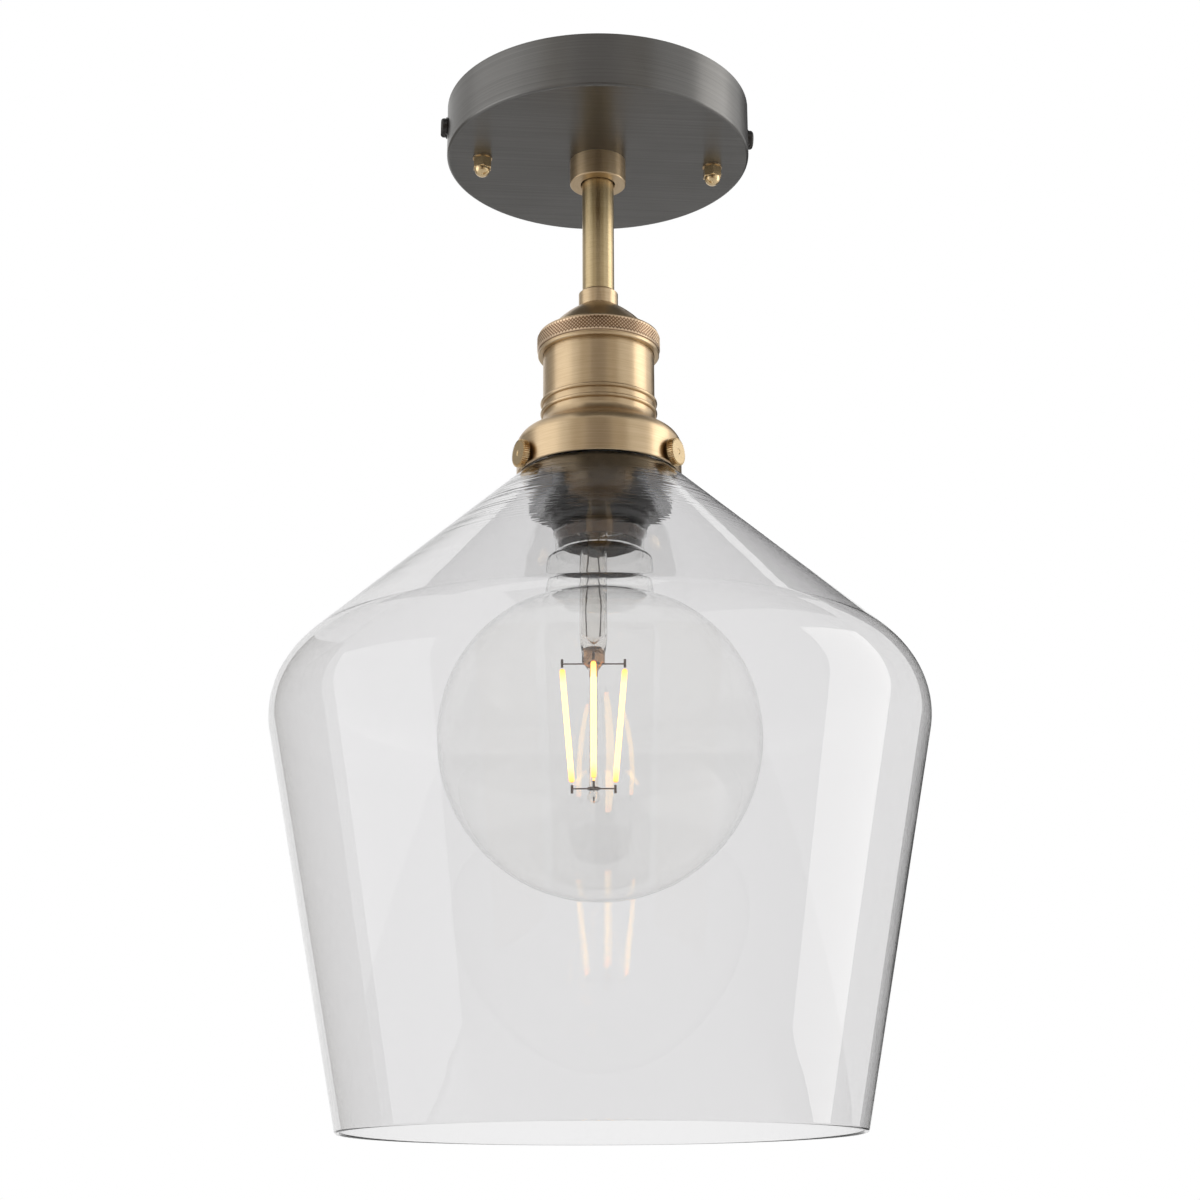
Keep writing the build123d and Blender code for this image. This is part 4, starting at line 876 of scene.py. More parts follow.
@dataclass
class Rose:
    """The pewter cup at the ceiling, with its cap nuts."""

    radius: float = 62.7
    depth: float = 22.8
    wall: float = 1.2
    edge: float = 1.4
    centre_hole: float = 5.15
    stud_hole: float = 2.25
    stud_reach: float = 48.0
    side_screw_drop: float = 9.6
    nut_flats: float = 7.0
    nut_seat: float = -23.3
    hex_height: float = 4.5
    hex_chamfer: float = 0.5
    dome_radius: float = 3.3
    nut_height: float = 8.0
    nut_bore: float = 2.0
    bore_depth: float = 5.9

    def cup(self) -> bpy.types.Object:
        """Turns the cup and drills its holes.

        Returns:
            The cup.
        """
        inside, face = self.radius - self.wall, -self.depth
        outline = rounded([
            (self.centre_hole, face), (self.radius, face, self.edge), (self.radius, 0), (inside, 0),
            (inside, face + self.wall, 0.3), (self.centre_hole, face + self.wall),
        ], 8)
        piece = turn("rose_cup", outline, 192)
        places = [at(side * self.stud_reach, 0, face) for side in (-1, 1)]
        places += [outward(angle, self.radius, -self.side_screw_drop) for angle in (0, 180)]
        drill(piece, self.stud_hole, 10, places)
        smooth(piece, 30)
        return piece

    def cap_nut(self) -> bpy.types.Object:
        """Cuts a turned blank to a hexagon and adds a dome and a bore.

        Returns:
            One domed cap nut, on the axis.
        """
        corner = self.nut_flats / 2 / cos(pi / 6)
        foot = self.nut_seat - self.hex_height
        blank = turn("cap_nut_left_brass", [
            (0, self.nut_seat), (corner - self.hex_chamfer, self.nut_seat),
            (corner, self.nut_seat - self.hex_chamfer / 2), (corner, foot + self.hex_chamfer / 2),
            (corner - self.hex_chamfer, foot), (0, foot),
        ], 72)
        hexagon = rod("hexagon", corner + 0.001, 40, 6)
        settle(hexagon, at(0, 0, foot))
        modify(blank, "BOOLEAN", operation="INTERSECT", object=hexagon, solver="EXACT")
        bpy.data.objects.remove(hexagon)
        tip = self.nut_seat - self.nut_height
        centre = tip + self.dome_radius
        dome = turn("dome", [(0, foot + 0.5), (self.dome_radius, foot + 0.5),
                             *arc((0, centre), self.dome_radius, 0, -90, 10)], 48)
        modify(blank, "BOOLEAN", operation="UNION", object=dome, solver="EXACT")
        bpy.data.objects.remove(dome)
        drill(blank, self.nut_bore, self.bore_depth * 2, [at(0, 0, self.nut_seat)])
        smooth(blank, 28)
        return blank

    def build(self) -> None:
        """Builds the cup and both nuts and fits them."""
        fit(self.cup(), "root", "pewter", PEWTER, "ceiling_rose")
        nut = self.cap_nut()
        right = copied(nut, "cap_nut_right_brass", at(self.stud_reach, 0, 0))
        left = settle(nut, at(-self.stud_reach, 0, 0))
        fit(left, "cap_nut_left", "antique_brass", POLISHED, "cap_nut_left")
        fit(right, "cap_nut_right", "antique_brass", POLISHED, "cap_nut_right")


@dataclass
class Stem:
    """The tube between rose and holder, with a collar at each end."""

    tube_radius: float = 6.5
    tube_bore: float = 5.5
    tube_top: float = -26.8
    tube_foot: float = -86.0
    hole: float = 5.15
    top_radius: float = 11.55
    top_face: float = -22.8
    top_foot: float = -33.3
    low_radius: float = 8.0
    low_top: float = -82.1
    low_foot: float = -89.0
    top_gap: float = 0.45
    low_gap: float = 0.15
    top_chamfer: float = 0.3
    low_chamfer: float = 0.9

    def build(self) -> None:
        """Turns the three pieces and fits them."""
        socket = self.tube_radius + self.top_gap
        top = turn("top_collar_brass", rounded([
            (self.hole, self.top_face), (self.top_radius, self.top_face),
            (self.top_radius, self.top_foot, 0.5),
            (socket + self.top_chamfer, self.top_foot), (socket, self.top_foot + self.top_chamfer),
            (socket, self.tube_top), (self.hole, self.tube_top),
        ]), 96)
        tube = turn("stem_tube_brass", [
            (self.tube_bore, self.tube_top), (self.tube_radius, self.tube_top),
            (self.tube_radius, self.tube_foot), (self.tube_bore, self.tube_foot),
        ], 96)
        socket = self.tube_radius + self.low_gap
        low = turn("low_collar_brass", rounded([
            (self.hole, self.low_foot), (self.low_radius, self.low_foot, 0.3),
            (self.low_radius, self.low_top - self.low_chamfer),
            (self.low_radius - self.low_chamfer, self.low_top), (socket, self.low_top),
            (socket, self.tube_foot), (self.hole, self.tube_foot),
        ]), 96)
        fit(top, "root", "antique_brass", BRASS, "top_collar")
        fit(tube, "root", "antique_brass", STEM_BRASS, "stem_tube")
        fit(low, "root", "antique_brass", BRASS, "low_collar")


@dataclass
class Holder:
    """The domed cap with its knurled ring, the beaded shell and the gallery below it."""

    knurl_columns: int = 204
    knurl_rows: int = 8
    knurl_top: float = -102.4
    knurl_foot: float = -108.4
    knurl_radius: float = 24.6
    knurl_crest: float = 24.95
    knurl_valley: float = 24.2
    shell_radius: float = 22.45
    bead_reach: float = 22.65
    bead_radius: float = 0.85
    bead_heights: Point = (-131.1, -135.4)
    thumb_hole: float = 2.0
    tube_hole: float = 5.15
    cap_top: float = -89.0
    dome_middle: Point = (13.9, -93.2)
    dome_foot: Point = (19.8, -99.3)
    ring_shoulder: Point = (23.4, -101.4)
    ring_edge: float = 24.3
    lip_radius: float = 24.2
    lip_foot: float = -110.5
    lip_swell: float = 0.3
    ring_bore: float = 22.6
    shell_wall: float = 1.0
    shell_top: float = -103.5
    shell_foot: float = -136.7
    thread_radius: float = 21.4
    thread_bore: float = 19.6
    thread_foot: float = -148.4
    step_height: float = -135.9
    gallery_radius: float = 32.9
    gallery_foot: float = -162.1
    gallery_wall: float = 1.0
    gallery_bend: float = 5.0
    gallery_flare: tuple[Point, ...] = (
        (22.45, -137.9), (24.195, -141.7), (27.999, -143.8), (31.301, -146.1), (32.9, -149.6),
    )

    def cap(self) -> bpy.types.Object:
        """Turns the domed cap and presses the crossed knurl into its ring.

        Returns:
            The cap.
        """
        pitch = (self.knurl_top - self.knurl_foot) / self.knurl_rows
        rows = [(self.knurl_radius, self.knurl_top - pitch * row) for row in range(self.knurl_rows + 1)]
        lip, swell_out, foot = self.lip_radius, self.lip_swell, self.lip_foot
        outline = [
            (self.tube_hole, self.cap_top),
            *arc_through((8.0, self.cap_top), self.dome_middle, self.dome_foot, 14),
            *arc_through(self.dome_foot, (21.0, -100.5), self.ring_shoulder, 6)[1:],
            (self.ring_edge, -101.7), *rows, (lip, -108.9), (lip, -109.1), (lip + swell_out, -109.4),
            (lip + swell_out, foot + swell_out), (lip, foot), (self.ring_bore, foot),
            (self.ring_bore, -102.9), (19.0, -100.6), (12.5, -94.5), (10.48, -92.5),
            (self.tube_hole, -92.5),
        ]
        piece = turn("holder_cap_brass", outline, self.knurl_columns)

        def parity(place: Vector, odd: int) -> bool:
            """Tells whether a point is on the wanted squares of the ring's chequer.

            Args:
                place: The point, in millimetres.
                odd: 0 for the squares that rise, 1 for those that sink.

            Returns:
                Whether it is.
            """
            if abs(hypot(place.x, place.y) - self.knurl_radius) > 0.02:
                return False
            row = round((self.knurl_top - place.z) / pitch)
            column = round(atan2(place.y, place.x) / (2 * pi) * self.knurl_columns)
            return 0 < row < self.knurl_rows and (row + column) % 2 == odd

        centre = Vector((0, 0, self.knurl_top))
        for odd, radius in ((0, self.knurl_crest), (1, self.knurl_valley)):
            pick(piece, lambda place: parity(place, odd))
            scale = radius / self.knurl_radius
            swell(piece, (scale, scale, 1), centre)
        only(piece)
        bpy.ops.object.mode_set(mode="EDIT")
        bpy.ops.mesh.select_all(action="SELECT")
        bpy.ops.mesh.quads_convert_to_tris(quad_method="SHORTEST_DIAGONAL")
        bpy.ops.object.mode_set(mode="OBJECT")
        smooth(piece, 24)
        return piece

    def shell(self) -> bpy.types.Object:
        """Turns the shell with its two beads.

        Returns:
            The shell.
        """
        lean = degrees(acos((self.shell_radius - self.bead_reach) / self.bead_radius))
        beads = []
        for height in self.bead_heights:
            beads += arc((self.bead_reach, height), self.bead_radius, lean, -lean, 12)
        radius, bore = self.shell_radius, self.shell_radius - self.shell_wall
        return turn("holder_shell_brass", [
            (bore, self.shell_top), (radius, self.shell_top), *beads, (radius, self.shell_foot),
            (self.thread_radius, self.shell_foot), (self.thread_radius, self.thread_foot),
            (self.thread_bore, self.thread_foot), (self.thread_bore, self.step_height),
            (bore, self.step_height),
        ], 128)

    def gallery(self) -> bpy.types.Object:
        """Turns the gallery that takes the shade's neck and drills its three screw holes.

        Returns:
            The gallery.
        """
        radius, foot, bend = self.gallery_radius, self.gallery_foot, self.gallery_bend
        inside, bore = radius - self.gallery_wall, self.shell_radius - self.shell_wall
        outline = [
            (bore, self.shell_foot), (self.shell_radius, self.shell_foot),
            *flowing(list(self.gallery_flare), 6), (radius, foot + 0.3), (radius - 0.3, foot),
            (inside, foot), *arc((inside - bend, -149.9), bend, 0, 90, 10), (bore, -144.9),
        ]
        piece = turn("gallery_brass", outline, 160)
        middle = radius - self.gallery_wall / 2
        holes = [outward(angle, middle, THUMB_HEIGHT) for angle in THUMB_ANGLES]
        drill(piece, self.thumb_hole, 8, holes)
        smooth(piece, 30)
        return piece

    def build(self) -> None:
        """Builds the cap, shell and gallery and fits them."""
        fit(self.cap(), "root", "antique_brass", KNURLED, "holder_cap")
        fit(self.shell(), "root", "antique_brass", BRASS, "holder_shell")
        fit(self.gallery(), "root", "antique_brass", BRASS, "gallery")


@dataclass
class ThumbScrews:
    """The three toothed screws that hold the shade."""

    seat: float = 33.5
    head_radius: float = 5.6
    head_length: float = 2.8
    tooth_depth: float = 0.7
    teeth: int = 38
    chamfer: float = 0.35
    shank_radius: float = 1.95
    tip: float = 32.5
    peg_hole: float = 0.8
    peg_depth: float = 1.0
    dimple: float = 1.2
    dimple_depth: float = 0.25

    def blank(self) -> bpy.types.Object:
        """Turns one screw and cuts its teeth.

        Returns:
            The screw, standing on its tip at the origin.
        """
        shank = self.seat - self.tip
        rim, end = self.head_radius, shank + self.head_length
        outline = [
            (0, self.peg_depth), (self.peg_hole, self.peg_depth), (self.peg_hole, 0),
            (self.shank_radius, 0), (self.shank_radius, shank), (rim - self.chamfer, shank),
            (rim, shank + self.chamfer), (rim, end - self.chamfer), (rim - self.chamfer, end),
            (self.dimple, end), (self.dimple - 0.3, end - self.dimple_depth),
            (0, end - self.dimple_depth),
        ]
        columns = self.teeth * 4
        piece = turn("thumb_screw_1_brass", outline, columns)

        def valley(place: Vector) -> bool:
            """Tells whether a point lies in the gap between two teeth."""
            column = round(atan2(place.y, place.x) / (2 * pi) * columns)
            return hypot(place.x, place.y) > rim - self.chamfer * 1.2 and column % 4 > 1

        pick(piece, valley)
        scale = 1 - self.tooth_depth / rim
        swell(piece, (scale, scale, 1), Vector((0, 0, 0)))
        smooth(piece, 24)
        return piece

    def build(self) -> None:
        """Places the three screws and fits them."""
        first = self.blank()
        others = [
            copied(first, f"thumb_screw_{number}_brass", outward(angle, self.tip, THUMB_HEIGHT))
            for number, angle in enumerate(THUMB_ANGLES[1:], 2)
        ]
        settle(first, outward(THUMB_ANGLES[0], self.tip, THUMB_HEIGHT))
        for number, piece in enumerate([first, *others], 1):
            fit(piece, f"thumb_screw_{number}", "antique_brass", POLISHED, f"thumb_screw_{number}")


@dataclass
class Shade:
    """The smoke glass: neck, straight cone, round shoulder and a wall drawn in to the rim."""

    wall: float = 2.0
    neck_radius: float = 31.0
    neck_top: float = -149.2
    neck_corner: float = -161.9
    cone_angle: float = 41.8
    radius: float = 126.3
    shoulder: float = 33.7
    rim_radius: float = 96.95
    rim: float = -416.1
    neck_bend: float = 1.8
    top_edge: float = 0.4
    rim_edge: float = 0.84

    def line(self, inset: float) -> list[tuple[float, ...]]:
        """Gives one face of the glass from neck to rim.

        Args:
            inset: How far the face lies inside the outer one.

        Returns:
            The corners, with their roundings.
        """
        normal = (sin(radians(self.cone_angle)), cos(radians(self.cone_angle)))
        reach = self.radius - self.shoulder
        drop = (self.shoulder + (reach - self.neck_radius) * normal[0]) / normal[1]
        centre = (reach, self.neck_corner - drop)
        to_rim = (self.rim_radius - centre[0], self.rim - centre[1])
        lean = atan2(to_rim[1], to_rim[0]) + pi / 2 - asin(self.shoulder / hypot(*to_rim))
        bend = self.neck_bend + inset
        corner = (self.neck_radius - inset, self.neck_corner - inset * (1 - normal[0]) / normal[1], bend)
        round_part = arc(centre, self.shoulder - inset, 90 - self.cone_angle, degrees(lean), 26)
        foot = round_part[-1]
        rim = foot[0] + (foot[1] - self.rim) * tan(lean)
        top = (self.neck_radius - inset, self.neck_top, self.top_edge)
        return [top, corner, *round_part, (rim, self.rim, self.rim_edge)]

    def build(self) -> None:
        """Blows the shade and fits it."""
        outline = rounded(self.line(0) + self.line(self.wall)[::-1], 8)
        piece = turn("shade_glass", outline, 224, 50)
        fit(piece, "shade", "smoke_glass", SMOKE, "glass_shade")


@dataclass
class LampSocket:
    """The black moulded barrel and the ring screwed onto it."""

    bore: float = 15.2
    mouth: float = 14.0
    lip_top: float = -183.0
    flange_radius: float = 21.15
    flange_top: float = -131.9
    flange_foot: float = -135.9
    barrel_radius: float = 19.3
    barrel_foot: float = -184.4
    ring_bore: float = 19.45
    ring_radius: float = 28.5
    ring_top: float = -174.4
    plate_foot: float = -177.4
    skirt_radius: float = 21.8
    skirt_foot: float = -181.1

    def build(self) -> None:
        """Turns both mouldings and fits them."""
        barrel = turn("socket_barrel_black", rounded([
            (self.bore, self.flange_top), (self.flange_radius, self.flange_top),
            (self.flange_radius, self.flange_foot), (self.barrel_radius, self.flange_foot),
            (self.barrel_radius, self.barrel_foot, 0.7), (self.mouth, self.barrel_foot, 0.5),
            (self.mouth, self.lip_top), (self.bore, self.lip_top),
        ]), 96)
        ring = turn("socket_ring_black", rounded([
            (self.ring_bore, self.ring_top), (self.ring_radius, self.ring_top, 0.6),
            (self.ring_radius, self.plate_foot, 0.6), (self.skirt_radius, self.plate_foot, 0.5),
            (self.skirt_radius, self.skirt_foot, 0.5), (self.ring_bore, self.skirt_foot),
        ]), 112)
        fit(barrel, "root", "black_moulding", BLACK_GLOSS, "socket_barrel")
        fit(ring, "root", "black_moulding", BLACK_GLOSS, "socket_ring")


@dataclass
class Bulb:
    """The globe bulb: its glass, the glass stem inside and four lit filaments."""

    globe: float = 62.5
    centre: float = -268.42
    wall: float = 0.9
    neck: float = 21.4
    stem_offset: float = -2.5
    funnel_top: float = -173.1
    funnel_foot: float = -187.1
    tube_foot: float = -228.1
    pinch: float = -238.3
    rod_foot: float = -291.3
    filament_radius: float = 1.05
    upper: Point = (12.2, -240.9)
    lower: Point = (8.3, -285.7)
    filament_turn: float = -5.0
    funnel_width: float = 10.3
    tube_radius: float = 5.4
    tube_wall: float = 0.9
    tube_middle: float = -214.0
    rod_radius: float = 1.7
    outer_neck: tuple[tuple[float, ...], ...] = (
        (0, -172.1), (11.3, -172.1, 0.8), (11.3, -184.5, 0.8), (18.9, -186.5, 1.2),
        (17.65, -190.4, 1.2), (17.65, -195.4, 1.2), (20.8, -198.0, 1.2), (21.4, -206.1, 1.2),
    )
    inner_neck: tuple[tuple[float, ...], ...] = (
        (0, -173.0), (10.4, -173.0, 0.4), (10.4, -185.22, 0.8), (18.0, -187.04, 0.5),
        (16.75, -190.4, 1.2), (16.75, -195.85, 1.2), (19.9, -198.54, 0.6), (20.5, -206.1, 1.2),
    )
    seal_outline: tuple[Point, ...] = (
        (0, -231.4), (1.6, -231.6), (2.6, -232.6), (2.9, -234.0), (3.0, -236.0), (3.1, -238.0),
        (2.5, -239.2), (1.2, -240.4), (1.1, -244.0), (0, -244.2),
    )
    seal_folds: int = 9
    seal_sway: float = 0.28
    seal_middle: float = -236.0
    seal_foot: float = -240.2
    cement_outline: tuple[Point, ...] = (
        (10.6, -185.5), (17.75, -187.2), (16.6, -190.35), (16.6, -191.4), (16.4, -191.4),
        (16.4, -190.4), (17.4, -187.4), (10.6, -185.75),
    )

    def face(self, inset: float, corners: tuple[tuple[float, ...], ...], blend: float) -> list[Point]:
        """Gives one face of the glass from its top to the bottom of the globe.

        Args:
            inset: How far the face lies inside the outer one.
            corners: The corners of the neck, from the top down.
            blend: Rounding between neck and globe.

        Returns:
            The points of the face.
        """
        radius, neck = self.globe - inset, self.neck - inset
        meet = acos(neck / radius)
        first = degrees(meet) - degrees((blend * 0.75) / radius)
        corner = (neck, self.centre + radius * sin(meet), blend)
        ball = arc((0, self.centre), radius, first, -90, 84)
        return rounded([*corners, corner, *ball], 6)

    def glass(self) -> bpy.types.Object:
        """Turns the bulb's outer and inner faces, which close over the hollow between them.

        Returns:
            The glass of the bulb.
        """
        inner = self.face(self.wall, self.inner_neck, 3.0 + self.wall)
        hollow = turn("bulb_hollow", inner, 160, 50, inside_out=True)
        outside = turn("bulb_outside", self.face(0, self.outer_neck, 3.0), 160, 50)
        return joined([outside, hollow], "bulb_globe_glass")

    def funnel(self) -> list[Point]:
        """Gives the stem's funnel, which narrows in an even curve from the cap to the tube."""
        narrowing, depth = self.funnel_width - self.tube_radius, self.funnel_top - self.funnel_foot
        return [
            (self.funnel_width - narrowing * t * t * (3 - 2 * t), self.funnel_top - depth * t)
            for t in (0, .15, .3, .5, .7, .85, 1)
        ]

    def stem(self) -> bpy.types.Object:
        """Turns the glass stem, then leans its funnel and pinches its foot.

        Returns:
            The stem.
        """
        funnel, radius, inside = self.funnel(), self.tube_radius, self.tube_radius - self.tube_wall
        outline = [
            *funnel, (radius, self.tube_middle), (radius, self.tube_foot), (5.0, -231.5),
            (4.2, -235.0), (3.6, self.pinch), (3.0, -240.0), (self.rod_radius, -242.0),
            (self.rod_radius, self.rod_foot + 2.0), *arc((0, self.rod_foot), 2.4, 45, -90, 8),
            (0, -231.0), (2.2, -229.6), (inside, self.tube_foot + 1.5), (inside, self.tube_middle),
            *[(wide - self.tube_wall, height) for wide, height in funnel[::-1]],
        ]
        piece = turn("bulb_stem_glass", outline, 64, 50)
        depth = self.funnel_top - self.funnel_foot
        for _, height in funnel:
            pick(piece, lambda place: abs(place.z - height) < 0.01)
            shift(piece, (self.stem_offset * (self.funnel_top - height) / depth, 0, 0))
        pick(piece, lambda place: place.z < self.funnel_foot - 0.1)
        shift(piece, (self.stem_offset, 0, 0))
        for height, wide, deep in ((-231.5, 1.0, 0.86), (-235.0, 1.07, 0.7), (self.pinch, 1.25, 0.72)):
            pick(piece, lambda place: abs(place.z - height) < 0.02)
            swell(piece, (wide, deep, 1), Vector((self.stem_offset, 0, height)))
        smooth(piece, 50)
        return piece

    def seal(self) -> bpy.types.Object:
        """Makes the crumpled copper-coloured seal inside the pinch.

        Returns:
            The seal.
        """
        piece = turn("bulb_stem_seal", list(self.seal_outline), 40, 60)
        for fold in range(self.seal_folds):
            height = -232.0 - fold
            pick(piece, lambda place: abs(place.z - height) < 0.5)
            shift(piece, (self.seal_sway * (-1) ** fold, 0, 0))
        pick(piece, lambda place: place.z > self.seal_foot)
        swell(piece, (1.22, 0.62, 1), Vector((0, 0, self.seal_middle)))
        return settle(piece, at(self.stem_offset, 0, 0))

    def lining(self) -> bpy.types.Object:
        """Turns the brown cement that lines the glass where the cap holds it."""
        return turn("bulb_cement_lining", list(self.cement_outline), 96)

    def filament(self) -> bpy.types.Object:
        """Turns one filament with round ends.

        Returns:
            The filament, leaning inwards towards its foot.
        """
        top = Vector((self.upper[0], 0, self.upper[1]))
        foot = Vector((self.lower[0], 0, self.lower[1]))
        length, radius = (top - foot).length, self.filament_radius
        outline = [*arc((0, length - radius), radius, 90, 0, 6), *arc((0, radius), radius, 0, -90, 6)]
        piece = turn("filament_1", outline, 24, 60)
        lean = Vector((0, 0, 1)).rotation_difference((top - foot).normalized()).to_matrix().to_4x4()
        return settle(piece, Matrix.Translation(foot * MM) @ lean)

    def filaments(self) -> bpy.types.Object:
        """Sets four filaments round the stem and joins them.

        Returns:
            The filaments as one piece, as the frame has them.
        """
        first = self.filament()
        centre = at(self.stem_offset, 0, 0)
        pieces = []
        for number in range(4):
            place = Matrix.Rotation(radians(self.filament_turn + 90 * number), 4, "Z")
            pieces.append(copied(first, f"filament_{number}", centre @ place))
        bpy.data.objects.remove(first)
        return joined(pieces, "bulb_filaments_lit")

    def build(self) -> None:
        """Builds the bulb's pieces and fits them."""
        fit(self.glass(), "bulb", "bulb_clear_glass", BULB_CLEAR, "bulb_glass")
        fit(self.stem(), "bulb", "bulb_clear_glass", STEM_GLASS, "bulb_stem")
        fit(self.seal(), "bulb", "filament_wire", SEAL_COPPER)
        fit(self.lining(), "bulb", "bulb_cap_metal", CEMENT_BROWN)
        fit(self.filaments(), "bulb", "filament_phosphor", GLOW, "bulb_filaments")


class FrameParts:
    """The pieces shaped by the frame: fixings, wiring and the inside of the holder."""

    def build(self) -> None:
        """Gives every shown node of the frame the finish of its slot."""
        for part in frame["record"]["subparts"]:
            piece = frame["nodes"][part["node"]]
            if piece.hide_render:
                continue
            finish = SLOT_FINISHES[part["material_slot"]]
            piece.data.materials.clear()
            piece.data.materials.append(finish.material())
            LOG.info("%s keeps its shape, finished as %s", piece.name, part["material_slot"])


@dataclass(frozen=True)
class Card:
    """A lamp or a reflecting card that stands round the object, facing it."""

    name: str
    azimuth: float
    elevation: float
    width: float
    height: float
    tone: Colour
    power: float = 0.0
    distance: float = 2.0

    def place(self, yaw: float) -> Matrix:
        """Gives the card's place, facing the middle of the lamp.

        Args:
            yaw: Direction of the camera's view in degrees.

        Returns:
            The card's matrix.
        """
        turned, lifted = radians(self.azimuth - yaw), radians(self.elevation)
        way = Vector((sin(turned) * cos(lifted), -cos(turned) * cos(lifted), sin(lifted)))
        spot = Studio.middle + way * self.distance
        return Matrix.Translation(spot) @ way.to_track_quat("Z", "Y").to_matrix().to_4x4()

    def build(self, yaw: float) -> None:
        """Sets up the lamp or card, unseen by the camera and through glass.

        Args:
            yaw: Direction of the camera's view in degrees.
        """
        made = self.lamp() if self.power else self.board()
        made.matrix_world = self.place(yaw)
        made.visible_camera = made.visible_transmission = False

    def lamp(self) -> bpy.types.Object:
        """Makes an area lamp that looks white through glass.

        Returns:
            The lamp.
        """
        lamp = bpy.data.lights.new(self.name, "AREA")
        lamp.shape = "RECTANGLE"
        lamp.size, lamp.size_y = self.width, self.height
        lamp.energy = self.power
        lamp.color = self.tone
        lamp.use_nodes = True
        tree = lamp.node_tree
        through = node(tree, "ShaderNodeLightPath").outputs["Is Transmission Ray"]
        radiance = self.power / (pi * self.width * self.height)
        strength = ramp(tree, through, 0.0, 1.0, 1.0, 1 / radiance)
        tree.links.new(strength, tree.nodes["Emission"].inputs["Strength"])
        made = bpy.data.objects.new(self.name, lamp)
        bpy.context.scene.collection.objects.link(made)
        return made

    def board(self) -> bpy.types.Object:
        """Makes a card that only reflections show.

        Returns:
            The card.
        """
        bpy.ops.object.select_all(action="DESELECT")
        bpy.ops.mesh.primitive_plane_add(size=1)
        made = bpy.context.object
        made.name = self.name
        made.scale = (self.width, self.height, 1)
        settle(made)
        paint = bpy.data.materials.new(self.name)
        paint.use_nodes = True
        tree = paint.node_tree
        glow = node(tree, "ShaderNodeEmission", {"Color": (*self.tone, 1)})
        through = node(tree, "ShaderNodeLightPath").outputs["Is Transmission Ray"]
        clear = node(tree, "ShaderNodeBsdfTransparent")
        seen = node(tree, "ShaderNodeMixShader", {0: through, 1: glow.outputs[0], 2: clear.outputs[0]})
        tree.links.new(seen.outputs[0], tree.nodes["Material Output"].inputs["Surface"])
        made.data.materials.append(paint)
        made.visible_diffuse = made.visible_shadow = made.visible_volume_scatter = False
        return made


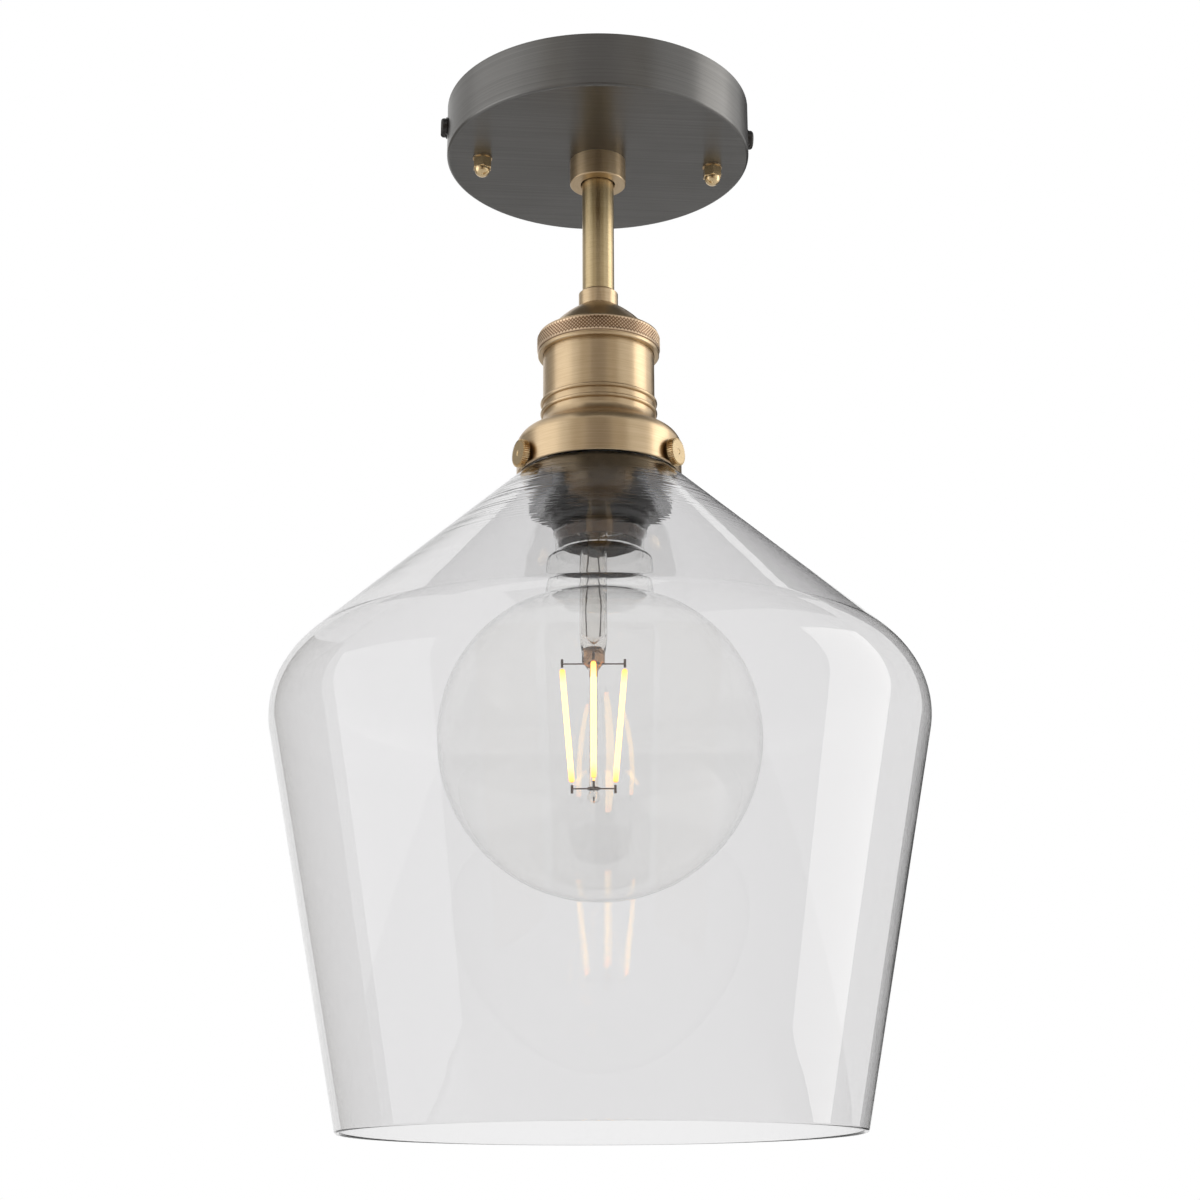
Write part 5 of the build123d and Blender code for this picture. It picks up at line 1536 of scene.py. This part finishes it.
@dataclass
class Studio:
    """The floor, the white surround, the lamps and cards, and the camera."""

    middle = Vector((0, 0, -0.21))
    camera_place: tuple[float, float, float] = (-0.0721, -0.8012, -0.4522)
    yaw: float = 5.152
    pitch: float = 16.563
    roll: float = -0.246
    lens: float = 64.33
    floor_height: float = -0.9
    floor_size: float = 9.0
    floor_tone: float = 0.86
    soft_level: float = 0.6
    floor_lift: float = 0.42

    cards = (
        Card("right_window", 95, 10, 1.15, 1.9, (1.0, 0.99, 0.97), power=12.5),
        Card("left_window", -76, 2, 1.5, 1.5, (0.97, 0.98, 1.0), power=7.4),
        Card("room_behind_camera", 0, 4, 1.5, 2.2, (0.13, 0.09, 0.06), distance=2.4),
        Card("room_right", 29, 4, 0.8, 2.2, (0.50, 0.45, 0.38), distance=2.25),
        Card("room_left", -30, 4, 0.8, 2.2, (0.50, 0.45, 0.38), distance=2.3),
        Card("left_corner_grey", -124, 6, 1.6, 1.9, (0.34, 0.33, 0.31), distance=2.1),
        Card("right_corner_dark", 151, 6, 0.9, 1.9, (0.08, 0.08, 0.08), distance=2.1),
        Card("upper_right_dark", 78, 64, 2.4, 1.1, (0.10, 0.10, 0.10), distance=2.1),
        Card("upper_front_dark", 0, 66, 1.7, 1.2, (0.03, 0.03, 0.03), distance=2.2),
        Card("overhead_grey", 180, 68, 2.2, 1.2, (0.25, 0.25, 0.26), distance=2.0),
        Card("behind_right_dark", 160, 34, 1.5, 0.9, (0.03, 0.03, 0.035), distance=2.3),
    )

    def floor(self) -> None:
        """Lays the pale floor."""
        bpy.ops.object.select_all(action="DESELECT")
        bpy.ops.mesh.primitive_plane_add(size=self.floor_size, location=(0, 0, self.floor_height))
        made = bpy.context.object
        made.name = "pale_floor"
        paint = bpy.data.materials.new("pale_floor")
        paint.use_nodes = True
        tree = paint.node_tree
        shader = tree.nodes["Principled BSDF"]
        shader.inputs["Base Color"].default_value = (self.floor_tone,) * 3 + (1,)
        shader.inputs["Roughness"].default_value = 0.9
        path = node(tree, "ShaderNodeLightPath").outputs
        seen = maths(tree, "MAXIMUM", path["Is Camera Ray"], path["Is Transmission Ray"])
        shader.inputs["Emission Color"].default_value = (1, 1, 1, 1)
        lift = ramp(tree, seen, 0.0, 1.0, 0.0, self.floor_lift)
        tree.links.new(lift, shader.inputs["Emission Strength"])
        made.data.materials.append(paint)

    def surround(self) -> None:
        """Makes the surround white where it is seen, and softer where it lights."""
        world = bpy.data.worlds.new("white_room")
        bpy.context.scene.world = world
        world.use_nodes = True
        tree = world.node_tree
        path = node(tree, "ShaderNodeLightPath").outputs
        seen = maths(tree, "MAXIMUM", path["Is Camera Ray"], path["Is Glossy Ray"])
        seen = maths(tree, "MAXIMUM", seen, path["Is Transmission Ray"])
        tree.nodes["Background"].inputs["Color"].default_value = (1, 1, 1, 1)
        level = ramp(tree, seen, 0.0, 1.0, self.soft_level, 1.0)
        tree.links.new(level, tree.nodes["Background"].inputs["Strength"])

    def camera(self) -> None:
        """Puts the camera where the photograph was taken from."""
        made = bpy.data.objects.new("camera", bpy.data.cameras.new("camera"))
        bpy.context.scene.collection.objects.link(made)
        made.data.lens = self.lens
        made.data.sensor_width = 36.0
        made.matrix_world = (
            Matrix.Translation(self.camera_place)
            @ Matrix.Rotation(-radians(self.yaw), 4, "Z")
            @ Matrix.Rotation(pi / 2 + radians(self.pitch), 4, "X")
            @ Matrix.Rotation(radians(self.roll), 4, "Z")
        )
        bpy.context.scene.camera = made

    def build(self) -> None:
        """Sets up the whole studio."""
        bpy.context.scene.view_settings.view_transform = "Standard"
        self.floor()
        self.surround()
        for card in self.cards:
            card.build(self.yaw)
        self.camera()


def main() -> None:
    """Builds the lamp's pieces in order, then the studio."""
    logging.basicConfig(level=logging.INFO, format="%(message)s")
    shown = (Rose(), Stem(), Holder(), ThumbScrews(), Shade(), LampSocket(), Bulb())
    for part in (*shown, FrameParts(), Studio()):
        part.build()
        LOG.info("%s done", type(part).__name__)


if __name__ == "__main__":
    main()
